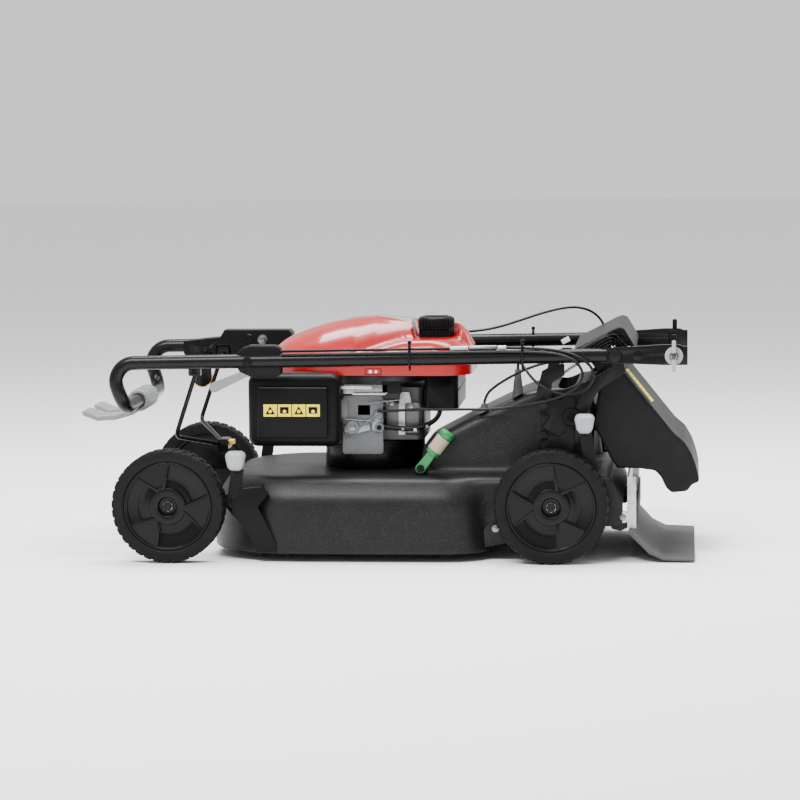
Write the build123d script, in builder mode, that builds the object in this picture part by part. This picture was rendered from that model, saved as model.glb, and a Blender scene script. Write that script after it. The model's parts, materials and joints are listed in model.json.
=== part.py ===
from build123d import *
import os
from math import pi, radians, tan

# Push lawn mower with its handle folded forward over the engine, in millimetres.
# +X points to the rear of the mower, -Y to its left side, +Z up.
# The origin is on the ground, at the middle of the mower's outline.

os.makedirs("parts", exist_ok=True)

# ---- driving dimensions ----
WHEEL_R = 101.6             # outside radius of all four wheels
WHEEL_OUT = 265.0           # outer face of a wheel, from the mower's middle plane
WHEEL_W = 44.0
RIM_R = 80.0                # where the tyre sits on the rim
AXLE_R = 6.30
AXLE_FIT = 0.05             # running clearance of a rim on its stub axle
FRONT_X = -381.0
REAR_X = 303.0
ARM_Y = 215.0               # inner face of the height arms
ARM_T = 5.0
FRONT_PIVOT = (-268.0, 108.0)
REAR_PIVOT = (383.0, 108.0)

CRANK_X = -32.0             # crankshaft, blade and engine centre line
LIP_Z = 14.0                # lower edge of the deck
SHOULDER_Z = 112.0
DECK_TOP = 150.0
DECK_T = 5.0
REAR_HALF = 208.0           # half width of the deck behind the bowl
DECK_REAR = 430.0
TUNNEL_NEAR = -165.0
TUNNEL_FAR = 70.0

TUBE_R = 12.7               # handle tube, 25.4 mm outside
TUBE_WALL = 2.0
TUBE_Y = 200.0              # side tubes of the handle
FOLD_X = 415.0              # fold pivot of the handle
FOLD_Z = 366.0
TAIL_X = 543.0              # rear end of the folded handle
NUT_X = 519.0               # wing nut, on the tail of the handle
BAR_X = -466.0              # crossbar of the handle
BAR_Z = 272.0
BAIL_X = -340.0             # pivots of the blade-brake bail
BAIL_Z = 339.0
BAIL_Y = 158.0
BAIL_R = 4.0
CABLE_R = 2.5
HOSE_R = 4.5


def side(y):
    """Upright plane across Y: its own x runs to the rear and its own y runs up."""
    return Plane.XZ.offset(-y)


def write(builder, node):
    """Label a finished piece and write it as one STEP file."""
    builder.part.label = node
    export_step(builder.part, f"parts/{node}.step")


# ---- deck shell: bowl, rear platform, grass tunnel ----
FRONT_LOBE = (-153.0, 82.0, 165.0)      # centre x, centre y, radius of a front corner
REAR_LOBE = (110.0, 160.0, 87.0)
tunnel_line = [(62, 140), (66, 203), (150, 247), (259, 300), (330, 312), (372, 318), (372, 140)]


def bowl_outline(inset):
    """The plan outline of the bowl, drawn in by a wall's thickness."""
    for x, y, r in (FRONT_LOBE, REAR_LOBE):
        with Locations((x, y), (x, -y)):
            Circle(r - inset)
    make_hull()


LEAN = 5.0                              # how far the bowl's wall leans in up to the shoulder
CROWN = 34.0                            # how far the shoulder draws in up to the top plate

with BuildPart() as deck_shell:
    for z, inset in ((LIP_Z, 0), (SHOULDER_Z, LEAN), (DECK_TOP, CROWN)):
        with BuildSketch(Plane.XY.offset(z)):
            bowl_outline(inset)
    loft(ruled=True)
    with BuildSketch(side(0)):
        Polygon((100, 60), (100, DECK_TOP), (405, DECK_TOP), (DECK_REAR, 110), (DECK_REAR, 60), align=None)
    extrude(amount=REAR_HALF, both=True)
    with BuildSketch(side(TUNNEL_FAR)):
        Polygon(*tunnel_line, align=None)
    extrude(amount=TUNNEL_FAR - TUNNEL_NEAR)
    # the hollow underneath
    for z, inset in ((LIP_Z - 1, 0), (SHOULDER_Z, LEAN), (DECK_TOP - DECK_T, CROWN)):
        with BuildSketch(Plane.XY.offset(z)):
            bowl_outline(inset + DECK_T)
    loft(ruled=True, mode=Mode.SUBTRACT)
    with BuildSketch(side(0)):
        Polygon((90, 50), (90, DECK_TOP - DECK_T), (402, DECK_TOP - DECK_T), (DECK_REAR + 1, 101),
                (DECK_REAR + 1, 50), align=None)
    extrude(amount=REAR_HALF - DECK_T, both=True, mode=Mode.SUBTRACT)
    with BuildSketch(side(TUNNEL_FAR - DECK_T)):
        Polygon(*tunnel_line, align=None)
        offset(amount=-DECK_T, kind=Kind.INTERSECTION)
        with Locations((350, 230)):
            Rectangle(60, 164)
    extrude(amount=TUNNEL_FAR - TUNNEL_NEAR - 2 * DECK_T, mode=Mode.SUBTRACT)
    with BuildSketch(side(TUNNEL_FAR - DECK_T)):
        Polygon((68, 130), (72, 180), (372, 180), (372, 130), align=None)
    extrude(amount=TUNNEL_FAR - TUNNEL_NEAR - 2 * DECK_T, mode=Mode.SUBTRACT)
    # the ramp that closes the tunnel from below, and the wall in front of the gearbox bay
    with BuildSketch(side(TUNNEL_FAR)):
        Polygon((200, 24), (372, 172), (372, 178), (200, 30), align=None)
    extrude(amount=TUNNEL_FAR - TUNNEL_NEAR)
    with BuildSketch(side(TUNNEL_FAR)):
        Polygon((200, 24), (344, 148), (200, 148), align=None)
    extrude(amount=DECK_T)
    with BuildSketch(side(TUNNEL_NEAR + DECK_T)):
        Polygon((200, 24), (344, 148), (200, 148), align=None)
    extrude(amount=DECK_T)
    # the crankshaft's hole
    with BuildSketch(Plane.XY.offset(DECK_TOP - 20)):
        with Locations((CRANK_X, 0)):
            Circle(60)
    extrude(amount=30, mode=Mode.SUBTRACT)
write(deck_shell, "deck_shell")

# ---- rear frame: brackets, stays, plate, hood, rod and bolts ----
bracket_line = [(278, 150), (275, 300), (285, 338), (308, 350), (325, 350), (325, 330), (303, 318),
                (300, 290), (318, 284), (338, 300), (343, 280), (343, 215), (325, 150)]
stay_line = [(352, 262), (372, 302), (386, 318), (422, 340), (FOLD_X, FOLD_Z)]
STAY_IN = 176.0             # inner face of a stay
STAY_OUT = 188.0
BRACKET_OUT = 192.5

with BuildPart() as handle_brackets:
    for y in (-STAY_OUT - 0.5, BRACKET_OUT):
        with BuildSketch(side(y)):
            Polygon(*bracket_line, align=None)
            with Locations((287, 279), (287, 222)):
                Circle(4.2, mode=Mode.SUBTRACT)
        extrude(amount=BRACKET_OUT - STAY_OUT - 0.5)
write(handle_brackets, "handle_brackets")

with BuildPart() as handle_stays:
    for y in (-STAY_IN, STAY_OUT):
        for start, end in zip([(338, 215)] + stay_line, stay_line):
            with BuildSketch(side(y)):
                with Locations(start, end):
                    Circle(11)
                make_hull()
            extrude(amount=STAY_OUT - STAY_IN)
        with BuildSketch(side(y)):
            with Locations((FOLD_X, FOLD_Z)):
                Circle(5.0)
        extrude(amount=STAY_OUT - STAY_IN, mode=Mode.SUBTRACT)
write(handle_stays, "handle_stays")

with BuildPart() as rear_plate:
    with BuildSketch(Plane.XY.offset(58)):
        Polygon((436, -205), (452, -205), (452, -202), (439, -202), (439, 202), (452, 202),
                (452, 205), (436, 205), align=None)
    extrude(amount=92)
write(rear_plate, "rear_plate")

HOOD_HALF = 164.0
hood_line = [(340, 374), (412, 411), (422, 414), (431, 411), (453, 374), (446, 374), (425, 404),
             (416, 404), (356, 374)]
with BuildPart() as rear_hood:
    with BuildSketch(side(HOOD_HALF)):
        Polygon(*hood_line, align=None)
    extrude(amount=2 * HOOD_HALF)
    for y in (-HOOD_HALF, STAY_IN):
        with BuildSketch(side(y)):
            Polygon((352, 376), (400, 402), (400, 345), (388, 335), (382, 338), align=None)
        extrude(amount=STAY_IN - HOOD_HALF)
write(rear_hood, "rear_hood")

GUARD_HINGE = (386.0, 326.0)
# ---- front wheel brackets ----
cover_line = [(-268, 92), (-252, 131), (-214, 135), (-203, 122), (-221, 99), (-189, 35), (-187, 18),
              (-225, 18), (-231, 39)]
with BuildPart() as wheel_brackets:
    for y in (-198, 213):
        with BuildSketch(side(y)):
            Polygon((-284, 96), (-276, 124), (-214, 135), (-190, 60), (-225, 30), align=None)
        extrude(amount=15)
    for y in (-228, 244):
        with BuildSketch(side(y)):
            Polygon(*cover_line, align=None)
        extrude(amount=16)
    for z, inset in ((LIP_Z, 0), (SHOULDER_Z, LEAN), (DECK_TOP, CROWN)):
        with BuildSketch(Plane.XY.offset(z)):
            bowl_outline(inset)
    loft(ruled=True, mode=Mode.SUBTRACT)
    with BuildSketch(side(213)):
        with Locations(FRONT_PIVOT):
            Circle(5.0)
    extrude(amount=426, mode=Mode.SUBTRACT)
write(wheel_brackets, "wheel_brackets")

# ---- wheels: tyre, rim, stub axle with its height arm ----
LEVERS = {"front": (FRONT_X, FRONT_PIVOT, (-260.0, 182.0)), "rear": (REAR_X, REAR_PIVOT, (362.0, 249.0))}
for end, (wheel_x, pivot, knob) in LEVERS.items():
    for hand, sign in (("left", -1), ("right", 1)):
        spot = (wheel_x, WHEEL_R)
        inner = WHEEL_OUT - WHEEL_W

        def face(distance, depth):
            """Plane for a sketch that is extruded towards -Y over a depth, measured outwards."""
            return side(sign * distance + (depth if sign > 0 else 0))

        with BuildPart() as tyre:
            with BuildSketch(face(inner, WHEEL_W)):
                with Locations(spot):
                    Circle(WHEEL_R)
                    Circle(RIM_R, mode=Mode.SUBTRACT)
            extrude(amount=WHEEL_W)
            fillet(tyre.edges().filter_by(GeomType.CIRCLE).sort_by(SortBy.RADIUS)[-2:], 7)
        write(tyre, f"tyre_{end}_{hand}")

        with BuildPart() as rim:
            for r_out, r_in, start, depth in ((RIM_R, RIM_R - 6, 2, 40), (RIM_R - 6, 17, 30, 8),
                                              (17, AXLE_R + AXLE_FIT, 2, 34)):
                with BuildSketch(face(inner + start, depth)):
                    with Locations(spot):
                        Circle(r_out)
                        Circle(r_in, mode=Mode.SUBTRACT)
                extrude(amount=depth)
            with BuildSketch(face(inner + 36, 7)):
                with Locations(spot):
                    Circle(33)
                    Circle(16, mode=Mode.SUBTRACT)
            extrude(amount=7)
        write(rim, f"rim_{end}_{hand}")

        with BuildPart() as arm:
            with BuildSketch(face(ARM_Y, ARM_T)):
                with BuildLine():
                    Polyline(spot, pivot, (knob[0], knob[1] - 17))
                trace(line_width=22)
                with Locations(spot, pivot):
                    Circle(14)
                with Locations(pivot):
                    Circle(5.05, mode=Mode.SUBTRACT)
            extrude(amount=ARM_T)
            with BuildSketch(face(ARM_Y + ARM_T, 38)):
                with Locations(spot):
                    Circle(AXLE_R)
            extrude(amount=38)
            with BuildSketch(face(ARM_Y + ARM_T + 37, 5)):
                with Locations(spot):
                    RegularPolygon(9, 6)
            extrude(amount=5)
            with BuildSketch(face(ARM_Y + ARM_T, 6.5)):
                with Locations((knob[0], knob[1] - 19)):
                    Circle(5)
            extrude(amount=6.5)
            with BuildSketch(face(ARM_Y + ARM_T + 6.5, 33)):
                with Locations(knob):
                    RectangleRounded(35, 34, 9)
                with Locations((knob[0], knob[1] - 17)):
                    Circle(7)
            extrude(amount=33)
        write(arm, f"height_arm_{end}_{hand}")

# ---- bolts and pivot pins: brackets, handle fold, height arms, guard rod ----
with BuildPart() as pivot_bolts:
    for z in (279, 222):
        for shank_end, head_end in ((-182.0, -BRACKET_OUT), (193.0, 198.5)):
            with BuildSketch(side(shank_end)):
                with Locations((287, z)):
                    Circle(4.1)
            extrude(amount=11)
            with BuildSketch(side(head_end)):
                with Locations((287, z)):
                    RegularPolygon(8, 6)
            extrude(amount=6)
    for sign in (-1, 1):
        for y0, y1, r in ((171, 176, 7.5), (176, 207.3, 5.0), (207.3, 212, 11)):
            low = y1 if sign > 0 else -y0
            with BuildSketch(side(low)):
                with Locations((FOLD_X, FOLD_Z)):
                    Circle(r)
            extrude(amount=y1 - y0)
    for x, z in (FRONT_PIVOT, REAR_PIVOT):
        for y in (-208, 220.2):
            with BuildSketch(side(y)):
                with Locations((x, z)):
                    Circle(5.0)
            extrude(amount=12.2)
        for y in (-213.3, 214.5):
            with BuildSketch(side(y)):
                with Locations((x, z)):
                    Circle(9)
            extrude(amount=1.2)
    with BuildSketch(side(STAY_IN)):
        with Locations(GUARD_HINGE):
            Circle(4)
    extrude(amount=2 * STAY_IN)
write(pivot_bolts, "pivot_bolts")

# ---- folded upper handle ----
with BuildPart() as upper_handle:
    with BuildLine() as handle_path:
        FilletPolyline((400, -TUBE_Y, 366.3), (-495, -TUBE_Y, 353), (BAR_X, -TUBE_Y, BAR_Z),
                       (BAR_X, TUBE_Y, BAR_Z), (-495, TUBE_Y, 353), (400, TUBE_Y, 366.3), radius=34)
    with BuildSketch(Plane(handle_path.line @ 0, z_dir=handle_path.line % 0)):
        Circle(TUBE_R)
        Circle(TUBE_R - TUBE_WALL, mode=Mode.SUBTRACT)
    sweep()
    for y in (-TUBE_Y + 6.5, TUBE_Y + 6.5):
        with BuildSketch(side(y)):
            Polygon((390, 354), (390, 378.5), (500, 385.5), (500, 349.5), align=None)
            with Locations((TAIL_X - 18, 367.5)):
                Circle(18.0)
            with Locations((512, 367.5)):
                Rectangle(26, 36)
            with Locations((FOLD_X, FOLD_Z)):
                Circle(5.05, mode=Mode.SUBTRACT)
            with Locations((NUT_X, FOLD_Z)):
                Circle(3.05, mode=Mode.SUBTRACT)
        extrude(amount=13)
    for y in (-TUBE_Y + 20, TUBE_Y + 20):
        for x, r in ((FOLD_X, 5.05), (NUT_X, 3.05)):
            with BuildSketch(side(y)):
                with Locations((x, FOLD_Z)):
                    Circle(r)
            extrude(amount=40, mode=Mode.SUBTRACT)
    for y in (-176, 190):
        with BuildSketch(side(y)):
            with Locations((BAIL_X, 341)):
                RectangleRounded(22, 24, 4)
        extrude(amount=14)
        with BuildSketch(side(y)):
            with Locations((BAIL_X, BAIL_Z)):
                Circle(4.05)
        extrude(amount=26, mode=Mode.SUBTRACT)
write(upper_handle, "upper_handle")

for hand, sign in (("left", -1), ("right", 1)):
    with BuildPart() as wing_nut:
        for near, depth, r in ((193, 14.2, 3.0), (207.2, 5, 16), (212.2, 6, 8)):
            with BuildSketch(side(sign * near + (depth if sign > 0 else 0))):
                with Locations((NUT_X, FOLD_Z)):
                    Circle(r)
            extrude(amount=depth)
        with BuildSketch(side(sign * 212.2 + (11 if sign > 0 else 0))):
            with Locations((NUT_X, FOLD_Z)):
                SlotOverall(56, 7, rotation=90)
        extrude(amount=11)
    write(wing_nut, f"wing_nut_{hand}")

# ---- controls on the handle ----
LEVER_X = -243.0            # pivot of the near lever
LEVER_Z = 335.5
BORE_Z = 357.0              # the side tube, where the housings clamp it

with BuildPart() as control_housing:
    with BuildSketch(side(-178)):
        with Locations((-219.5, 357)):
            RectangleRounded(79, 57, 8)
    extrude(amount=44)
    with BuildSketch(side(-190)):
        with Locations((-247, 334)):
            Rectangle(30, 18)
    extrude(amount=18, mode=Mode.SUBTRACT)
    with BuildSketch(Plane.YZ.offset(-262)):
        with Locations((-TUBE_Y, BORE_Z)):
            Circle(TUBE_R + 0.8)
    extrude(amount=90, mode=Mode.SUBTRACT)
    with BuildSketch(side(-188)):
        with Locations((LEVER_X, LEVER_Z)):
            Circle(3.0)
    extrude(amount=22)
write(control_housing, "control_housing")

with BuildPart() as lift_lever:
    with BuildSketch(side(-192)):
        with Locations((LEVER_X, LEVER_Z)):
            Circle(6)
        with Locations((-302, 310)):
            Circle(9)
        make_hull()
        with Locations((LEVER_X, LEVER_Z)):
            Circle(3.05, mode=Mode.SUBTRACT)
    extrude(amount=14)
write(lift_lever, "lift_lever")

with BuildPart() as control_box:
    with BuildSketch(side(222)):
        Polygon((-416, 340), (-416, 364), (-346, 371), (-338, 385), (-214, 385), (-208, 379),
                (-208, 338), (-412, 336), align=None)
    extrude(amount=44)
    with BuildSketch(Plane.YZ.offset(-420)):
        with Locations((TUBE_Y, 355.6)):
            Circle(TUBE_R + 2.2)
    extrude(amount=220, mode=Mode.SUBTRACT)
    with BuildSketch(side(192)):
        with Locations((BAIL_X, 341)):
            Rectangle(27, 29)
    extrude(amount=16, mode=Mode.SUBTRACT)
    with BuildSketch(side(180)):
        with Locations((-374, 345)):
            Circle(4.0)
    extrude(amount=14)
write(control_box, "control_box")

with BuildPart() as speed_lever:
    with BuildSketch(side(176)):
        with Locations((-374, 345)):
            Circle(9)
        with Locations((-380, 296)):
            Circle(18)
        make_hull()
        with Locations((-374, 345)):
            Circle(4.05, mode=Mode.SUBTRACT)
    extrude(amount=7)
write(speed_lever, "speed_lever")

with BuildPart() as bail:
    with BuildLine() as bail_path:
        FilletPolyline((BAIL_X, -188, BAIL_Z), (BAIL_X, -BAIL_Y, BAIL_Z), (-381, -BAIL_Y + 4, 216),
                       (-312, 0, 184), (-381, BAIL_Y - 4, 216), (BAIL_X, BAIL_Y, BAIL_Z),
                       (BAIL_X, 188, BAIL_Z), radius=14)
    with BuildSketch(Plane(bail_path.line @ 0, z_dir=bail_path.line % 0)):
        Circle(BAIL_R)
    sweep()
    with BuildSketch(side(24)):
        with Locations((-314, 186)):
            RectangleRounded(20, 22, 5)
    extrude(amount=48)
    with BuildSketch(side(11)):
        with Locations((-306, 190)):
            Rectangle(8, 10)
    extrude(amount=22, mode=Mode.SUBTRACT)
write(bail, "bail")

with BuildPart() as bail_button:
    with BuildSketch(side(10)):
        with Locations((-300.5, 190)):
            Rectangle(10, 9)
    extrude(amount=20)
write(bail_button, "bail_button")

with BuildPart() as drive_paddles:
    with BuildSketch(side(58)):
        with Locations((BAR_X, BAR_Z)):
            Circle(20)
            Circle(TUBE_R + 0.05, mode=Mode.SUBTRACT)
    extrude(amount=116)
    for y in (-28, 96):
        with BuildSketch(side(y)):
            Polygon((-456, 260), (-474, 259), (-500, 250), (-535, 247), (-558, 257), (-565, 256),
                    (-562, 248), (-536, 238), (-502, 240), (-470, 249), align=None)
            with Locations((BAR_X, BAR_Z)):
                Circle(TUBE_R + 0.05, mode=Mode.SUBTRACT)
        extrude(amount=68)
write(drive_paddles, "drive_paddles")

# ---- engine ----
with BuildPart() as engine_base:
    with Locations((CRANK_X, 0, DECK_TOP)):
        Cylinder(92, 53, align=(Align.CENTER, Align.CENTER, Align.MIN))
        Cylinder(24, 40, align=(Align.CENTER, Align.CENTER, Align.MIN), mode=Mode.SUBTRACT)
        Cylinder(12.55, 60, align=(Align.CENTER, Align.CENTER, Align.MIN), mode=Mode.SUBTRACT)
write(engine_base, "engine_base")

with BuildPart() as engine_block:
    with BuildSketch(Plane.XY.offset(203)):
        with Locations((-15, 0)):
            RectangleRounded(160, 172, 14)
    extrude(amount=97)
    with BuildSketch(Plane.XY.offset(213)):
        with Locations((-15, 0)):
            RectangleRounded(128, 140, 10)
    extrude(amount=77, mode=Mode.SUBTRACT)
    with BuildSketch(Plane.XY.offset(200)):
        with Locations((CRANK_X, 0)):
            Circle(12.55)
    extrude(amount=110, mode=Mode.SUBTRACT)
    with BuildSketch(Plane.YZ.offset(-100)):
        with Locations((0, 256)):
            Circle(30)
    extrude(amount=30, mode=Mode.SUBTRACT)
write(engine_block, "engine_block")

with BuildPart() as cylinder_head:
    with BuildSketch(Plane.YZ.offset(-95)):
        with Locations((0, 256)):
            RectangleRounded(100, 70, 12)
            Circle(30, mode=Mode.SUBTRACT)
    extrude(amount=-88)
    for x in range(-178, -100, 12):
        with BuildSketch(Plane.YZ.offset(x)):
            with Locations((0, 256)):
                RectangleRounded(130, 92, 12)
                Circle(30, mode=Mode.SUBTRACT)
        extrude(amount=3)
    with BuildSketch(Plane.YZ.offset(-183)):
        with Locations((0, 256)):
            Circle(36)
    extrude(amount=-8)
write(cylinder_head, "cylinder_head")

with BuildPart() as spark_plug:
    with BuildSketch(Plane.YZ.offset(-191)):
        with Locations((0, 256)):
            Circle(8)
    extrude(amount=-16)
    with BuildSketch(Plane.YZ.offset(-207)):
        with Locations((0, 256)):
            Circle(11)
    extrude(amount=-24)
write(spark_plug, "spark_plug")

with BuildPart() as muffler:
    with BuildSketch(side(165)):
        with Locations((-110, 250)):
            RectangleRounded(130, 76, 14)
    extrude(amount=60)
    with BuildSketch(side(161)):
        with Locations((-110, 250)):
            RectangleRounded(124, 70, 12)
    extrude(amount=52, mode=Mode.SUBTRACT)
write(muffler, "muffler")

with BuildPart() as carburettor:
    with BuildSketch(side(-86)):
        with Locations((-48, 250)):
            RectangleRounded(66, 64, 6)
    extrude(amount=42)
    with BuildSketch(Plane.YZ.offset(-81)):
        with Locations((-106, 262)):
            Circle(9)
    extrude(amount=66, mode=Mode.SUBTRACT)
    with BuildSketch(side(-128)):
        with Locations((-42.5, 235)):
            RectangleRounded(74, 106, 6)
        with Locations((-17, 232)):
            Circle(3.05, mode=Mode.SUBTRACT)
    extrude(amount=3)
write(carburettor, "carburettor")

with BuildPart() as throttle_lever:
    with BuildSketch(side(-131.3)):
        with Locations((-17, 232)):
            Circle(9)
        with Locations((-17, 258)):
            Circle(4)
        make_hull()
    extrude(amount=3)
    with BuildSketch(side(-128.5)):
        with Locations((-17, 232)):
            Circle(3)
    extrude(amount=3)
write(throttle_lever, "throttle_lever")

with BuildPart() as air_cleaner_base:
    with BuildSketch(side(-108)):
        with Locations((-166, 262)):
            RectangleRounded(158, 124, 18)
    extrude(amount=8)
write(air_cleaner_base, "air_cleaner_base")

with BuildPart() as air_filter:
    with BuildSketch(side(-116)):
        with Locations((-166, 262)):
            RectangleRounded(124, 96, 14)
            RectangleRounded(100, 72, 8, mode=Mode.SUBTRACT)
    extrude(amount=36)
write(air_filter, "air_filter")

with BuildPart() as air_cleaner_cover:
    with BuildSketch(side(-116)):
        with Locations((-164.5, 264)):
            RectangleRounded(167, 132, 22)
    extrude(amount=59)
    fillet(air_cleaner_cover.faces().sort_by(Axis.Y)[0].edges(), 14)
    with BuildSketch(side(-116)):
        with Locations((-164.5, 264)):
            RectangleRounded(161, 126, 19)
    extrude(amount=40, mode=Mode.SUBTRACT)
write(air_cleaner_cover, "air_cleaner_cover")

CAP_X = 84.0
CAP_Y = -20.0
with BuildPart() as fuel_tank:
    with BuildSketch(Plane.XY.offset(262)):
        with Locations((98, 0)):
            RectangleRounded(62, 224, 12)
    extrude(amount=72)
    with BuildSketch(Plane.XY.offset(330)):
        with Locations((CAP_X, CAP_Y)):
            Circle(25)
    extrude(amount=72)
    with BuildSketch(Plane.XY.offset(265)):
        with Locations((98, 0)):
            RectangleRounded(56, 218, 9)
    extrude(amount=66, mode=Mode.SUBTRACT)
    with BuildSketch(Plane.XY.offset(328)):
        with Locations((CAP_X, CAP_Y)):
            Circle(22)
    extrude(amount=80, mode=Mode.SUBTRACT)
write(fuel_tank, "fuel_tank")

with BuildPart() as fuel_cap:
    with Locations((CAP_X, CAP_Y, 386)):
        Cylinder(30, 23, align=(Align.CENTER, Align.CENTER, Align.MIN))
    with Locations((CAP_X, CAP_Y, 408)):
        Cylinder(34.5, 19, align=(Align.CENTER, Align.CENTER, Align.MIN))
    with Locations((CAP_X, CAP_Y, 385)):
        Cylinder(25.4, 20, align=(Align.CENTER, Align.CENTER, Align.MIN), mode=Mode.SUBTRACT)
write(fuel_cap, "fuel_cap")

# ---- red engine cover ----
crown_line = [(-223, 366), (-183, 390), (-127, 411), (-68, 421), (-23, 424.5), (21, 421), (60, 415),
              (117, 410), (130, 405), (133, 387), (153, 379), (153, 331)]
SKIRT_Z = 331.0
COVER_T = 3.0


def cover_plan(inset):
    """The plan outline of the engine cover, drawn in by a wall's thickness."""
    with Locations((-100, 0)):
        Circle(123 - inset)
    with Locations((95, 75), (95, -75)):
        Circle(58 - inset)
    make_hull()


with BuildPart() as cover_hollow:
    with BuildSketch(side(140)):
        Polygon(*[(x, z - COVER_T) for x, z in crown_line[:-1]], (153, 320), (-223, 320), align=None)
    extrude(amount=280)
    with BuildSketch(Plane.XY.offset(320)):
        cover_plan(COVER_T)
    extrude(amount=110, mode=Mode.INTERSECT)

with BuildPart() as engine_cover:
    with BuildSketch(side(140)):
        Polygon(*crown_line, (-223, SKIRT_Z), align=None)
    extrude(amount=280)
    with BuildSketch(Plane.XY.offset(320)):
        cover_plan(0)
    extrude(amount=110, mode=Mode.INTERSECT)
    add(cover_hollow.part, mode=Mode.SUBTRACT)
    with BuildSketch(Plane.XY.offset(330)):
        with Locations((CAP_X, CAP_Y)):
            Circle(37)
    extrude(amount=110, mode=Mode.SUBTRACT)
write(engine_cover, "engine_cover")

# ---- turning parts ----
with BuildPart() as crankshaft:
    for z, length, r in ((30, 322, 12.5), (150.2, 6, 20)):
        with Locations((CRANK_X, 0, z)):
            Cylinder(r, length, align=(Align.CENTER, Align.CENTER, Align.MIN))
    with BuildSketch(Plane.XY.offset(24)):
        with Locations((CRANK_X, 0)):
            RegularPolygon(14, 6)
    extrude(amount=8)
write(crankshaft, "crankshaft")

FLYWHEEL_Z = 306.0
with BuildPart() as flywheel:
    with BuildSketch(Plane.XY.offset(FLYWHEEL_Z)):
        with Locations((CRANK_X, 0)):
            Circle(92)
            Circle(12.5, mode=Mode.SUBTRACT)
    extrude(amount=14)
    with BuildSketch(Plane.XY.offset(FLYWHEEL_Z + 14)):
        with Locations((CRANK_X, 0)):
            with PolarLocations(70, 20):
                Rectangle(26, 3)
    extrude(amount=16)
write(flywheel, "flywheel")

BLADE_REACH = 216.0
with BuildPart() as blades:
    for z, turn in ((36, 20), (40.4, 95)):
        with BuildSketch(Plane.XY.offset(z)):
            with Locations(Location((CRANK_X, 0), turn)):
                Rectangle(2 * BLADE_REACH, 54)
                Circle(12.5, mode=Mode.SUBTRACT)
        extrude(amount=4)
write(blades, "blades")

GEAR_X = 255.0              # gearbox and its pulley, behind the bowl on the far side
GEAR_Y = 148.0
BELT_Z = 130.5
BELT_T = 6.0
CRANK_GROOVE = 24.0
GEAR_GROOVE = 36.0
for node, x, y, groove, bore in (("crank_pulley", CRANK_X, 0, CRANK_GROOVE, 12.5),
                                 ("gearbox_pulley", GEAR_X, GEAR_Y, GEAR_GROOVE, 0)):
    with BuildPart() as pulley:
        for z, length, r in ((BELT_Z - 2.5, 14, groove), (BELT_Z - 4.5, 4, groove + 7),
                             (BELT_Z + 9.5, 4, groove + 7)):
            with Locations((x, y, z)):
                Cylinder(r, length, align=(Align.CENTER, Align.CENTER, Align.MIN))
        if bore:
            with Locations((x, y, BELT_Z)):
                Cylinder(bore, 60, mode=Mode.SUBTRACT)
        else:
            with Locations((x, y, BELT_Z - 24)):
                Cylinder(8, 22, align=(Align.CENTER, Align.CENTER, Align.MIN))
    write(pulley, node)

with BuildPart() as drive_belt:
    with BuildSketch(Plane.XY.offset(BELT_Z)):
        with Locations((CRANK_X, 0)):
            Circle(CRANK_GROOVE + 0.3 + BELT_T)
        with Locations((GEAR_X, GEAR_Y)):
            Circle(GEAR_GROOVE + 0.3 + BELT_T)
        make_hull()
    extrude(amount=8.5)
    with BuildSketch(Plane.XY.offset(BELT_Z)):
        with Locations((CRANK_X, 0)):
            Circle(CRANK_GROOVE + 0.3)
        with Locations((GEAR_X, GEAR_Y)):
            Circle(GEAR_GROOVE + 0.3)
        make_hull()
    extrude(amount=8.5, mode=Mode.SUBTRACT)
write(drive_belt, "drive_belt")

with BuildPart() as gearbox:
    with BuildSketch(Plane.XY.offset(80)):
        with Locations((GEAR_X, GEAR_Y)):
            RectangleRounded(84, 92, 16)
    extrude(amount=44)
    with Locations((GEAR_X, GEAR_Y, 104)):
        Cylinder(8.05, 60, align=(Align.CENTER, Align.CENTER, Align.MIN), mode=Mode.SUBTRACT)
    with BuildSketch(side(203)):
        with Locations((GEAR_X, 100)):
            Circle(9)
    extrude(amount=20)
write(gearbox, "gearbox")

# ---- mulch selector: lever in front of the tunnel's near wall, shutter inside it ----
MULCH = (66.0, 162.0)
with BuildPart() as mulch_lever:
    with BuildSketch(side(-177)):
        with Locations(MULCH):
            Circle(9)
        with Locations((92, 196)):
            Circle(7)
        make_hull()
        with Locations(MULCH):
            Circle(4.05, mode=Mode.SUBTRACT)
    extrude(amount=10)
    with BuildSketch(Plane(origin=(90, -182, 193.5), z_dir=(0.62, 0, 0.785))):
        Circle(13.5)
    extrude(amount=44)
write(mulch_lever, "mulch_lever")

with BuildPart() as mulch_bearing:
    with BuildSketch(side(-TUNNEL_FAR - 96)):
        with Locations(MULCH):
            Circle(4.0)
    extrude(amount=22)
    with BuildSketch(side(-188)):
        with Locations(MULCH):
            Circle(7)
    extrude(amount=2)
    with BuildSketch(side(-TUNNEL_FAR - 96)):
        Polygon((54, 150), (54, 162), (MULCH[0], 171), (78, 162), (78, 150), align=None)
        with Locations(MULCH):
            Circle(4.0, mode=Mode.SUBTRACT)
    extrude(amount=9)
write(mulch_bearing, "mulch_bearing")

DOOR_HINGE = (90.0, 199.0)
with BuildPart() as mulch_door:
    with BuildSketch(side(60)):
        with Locations(DOOR_HINGE):
            Circle(3)
        with Locations((134, 219)):
            Circle(1.5)
        make_hull()
    extrude(amount=216)
write(mulch_door, "mulch_door")

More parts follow.
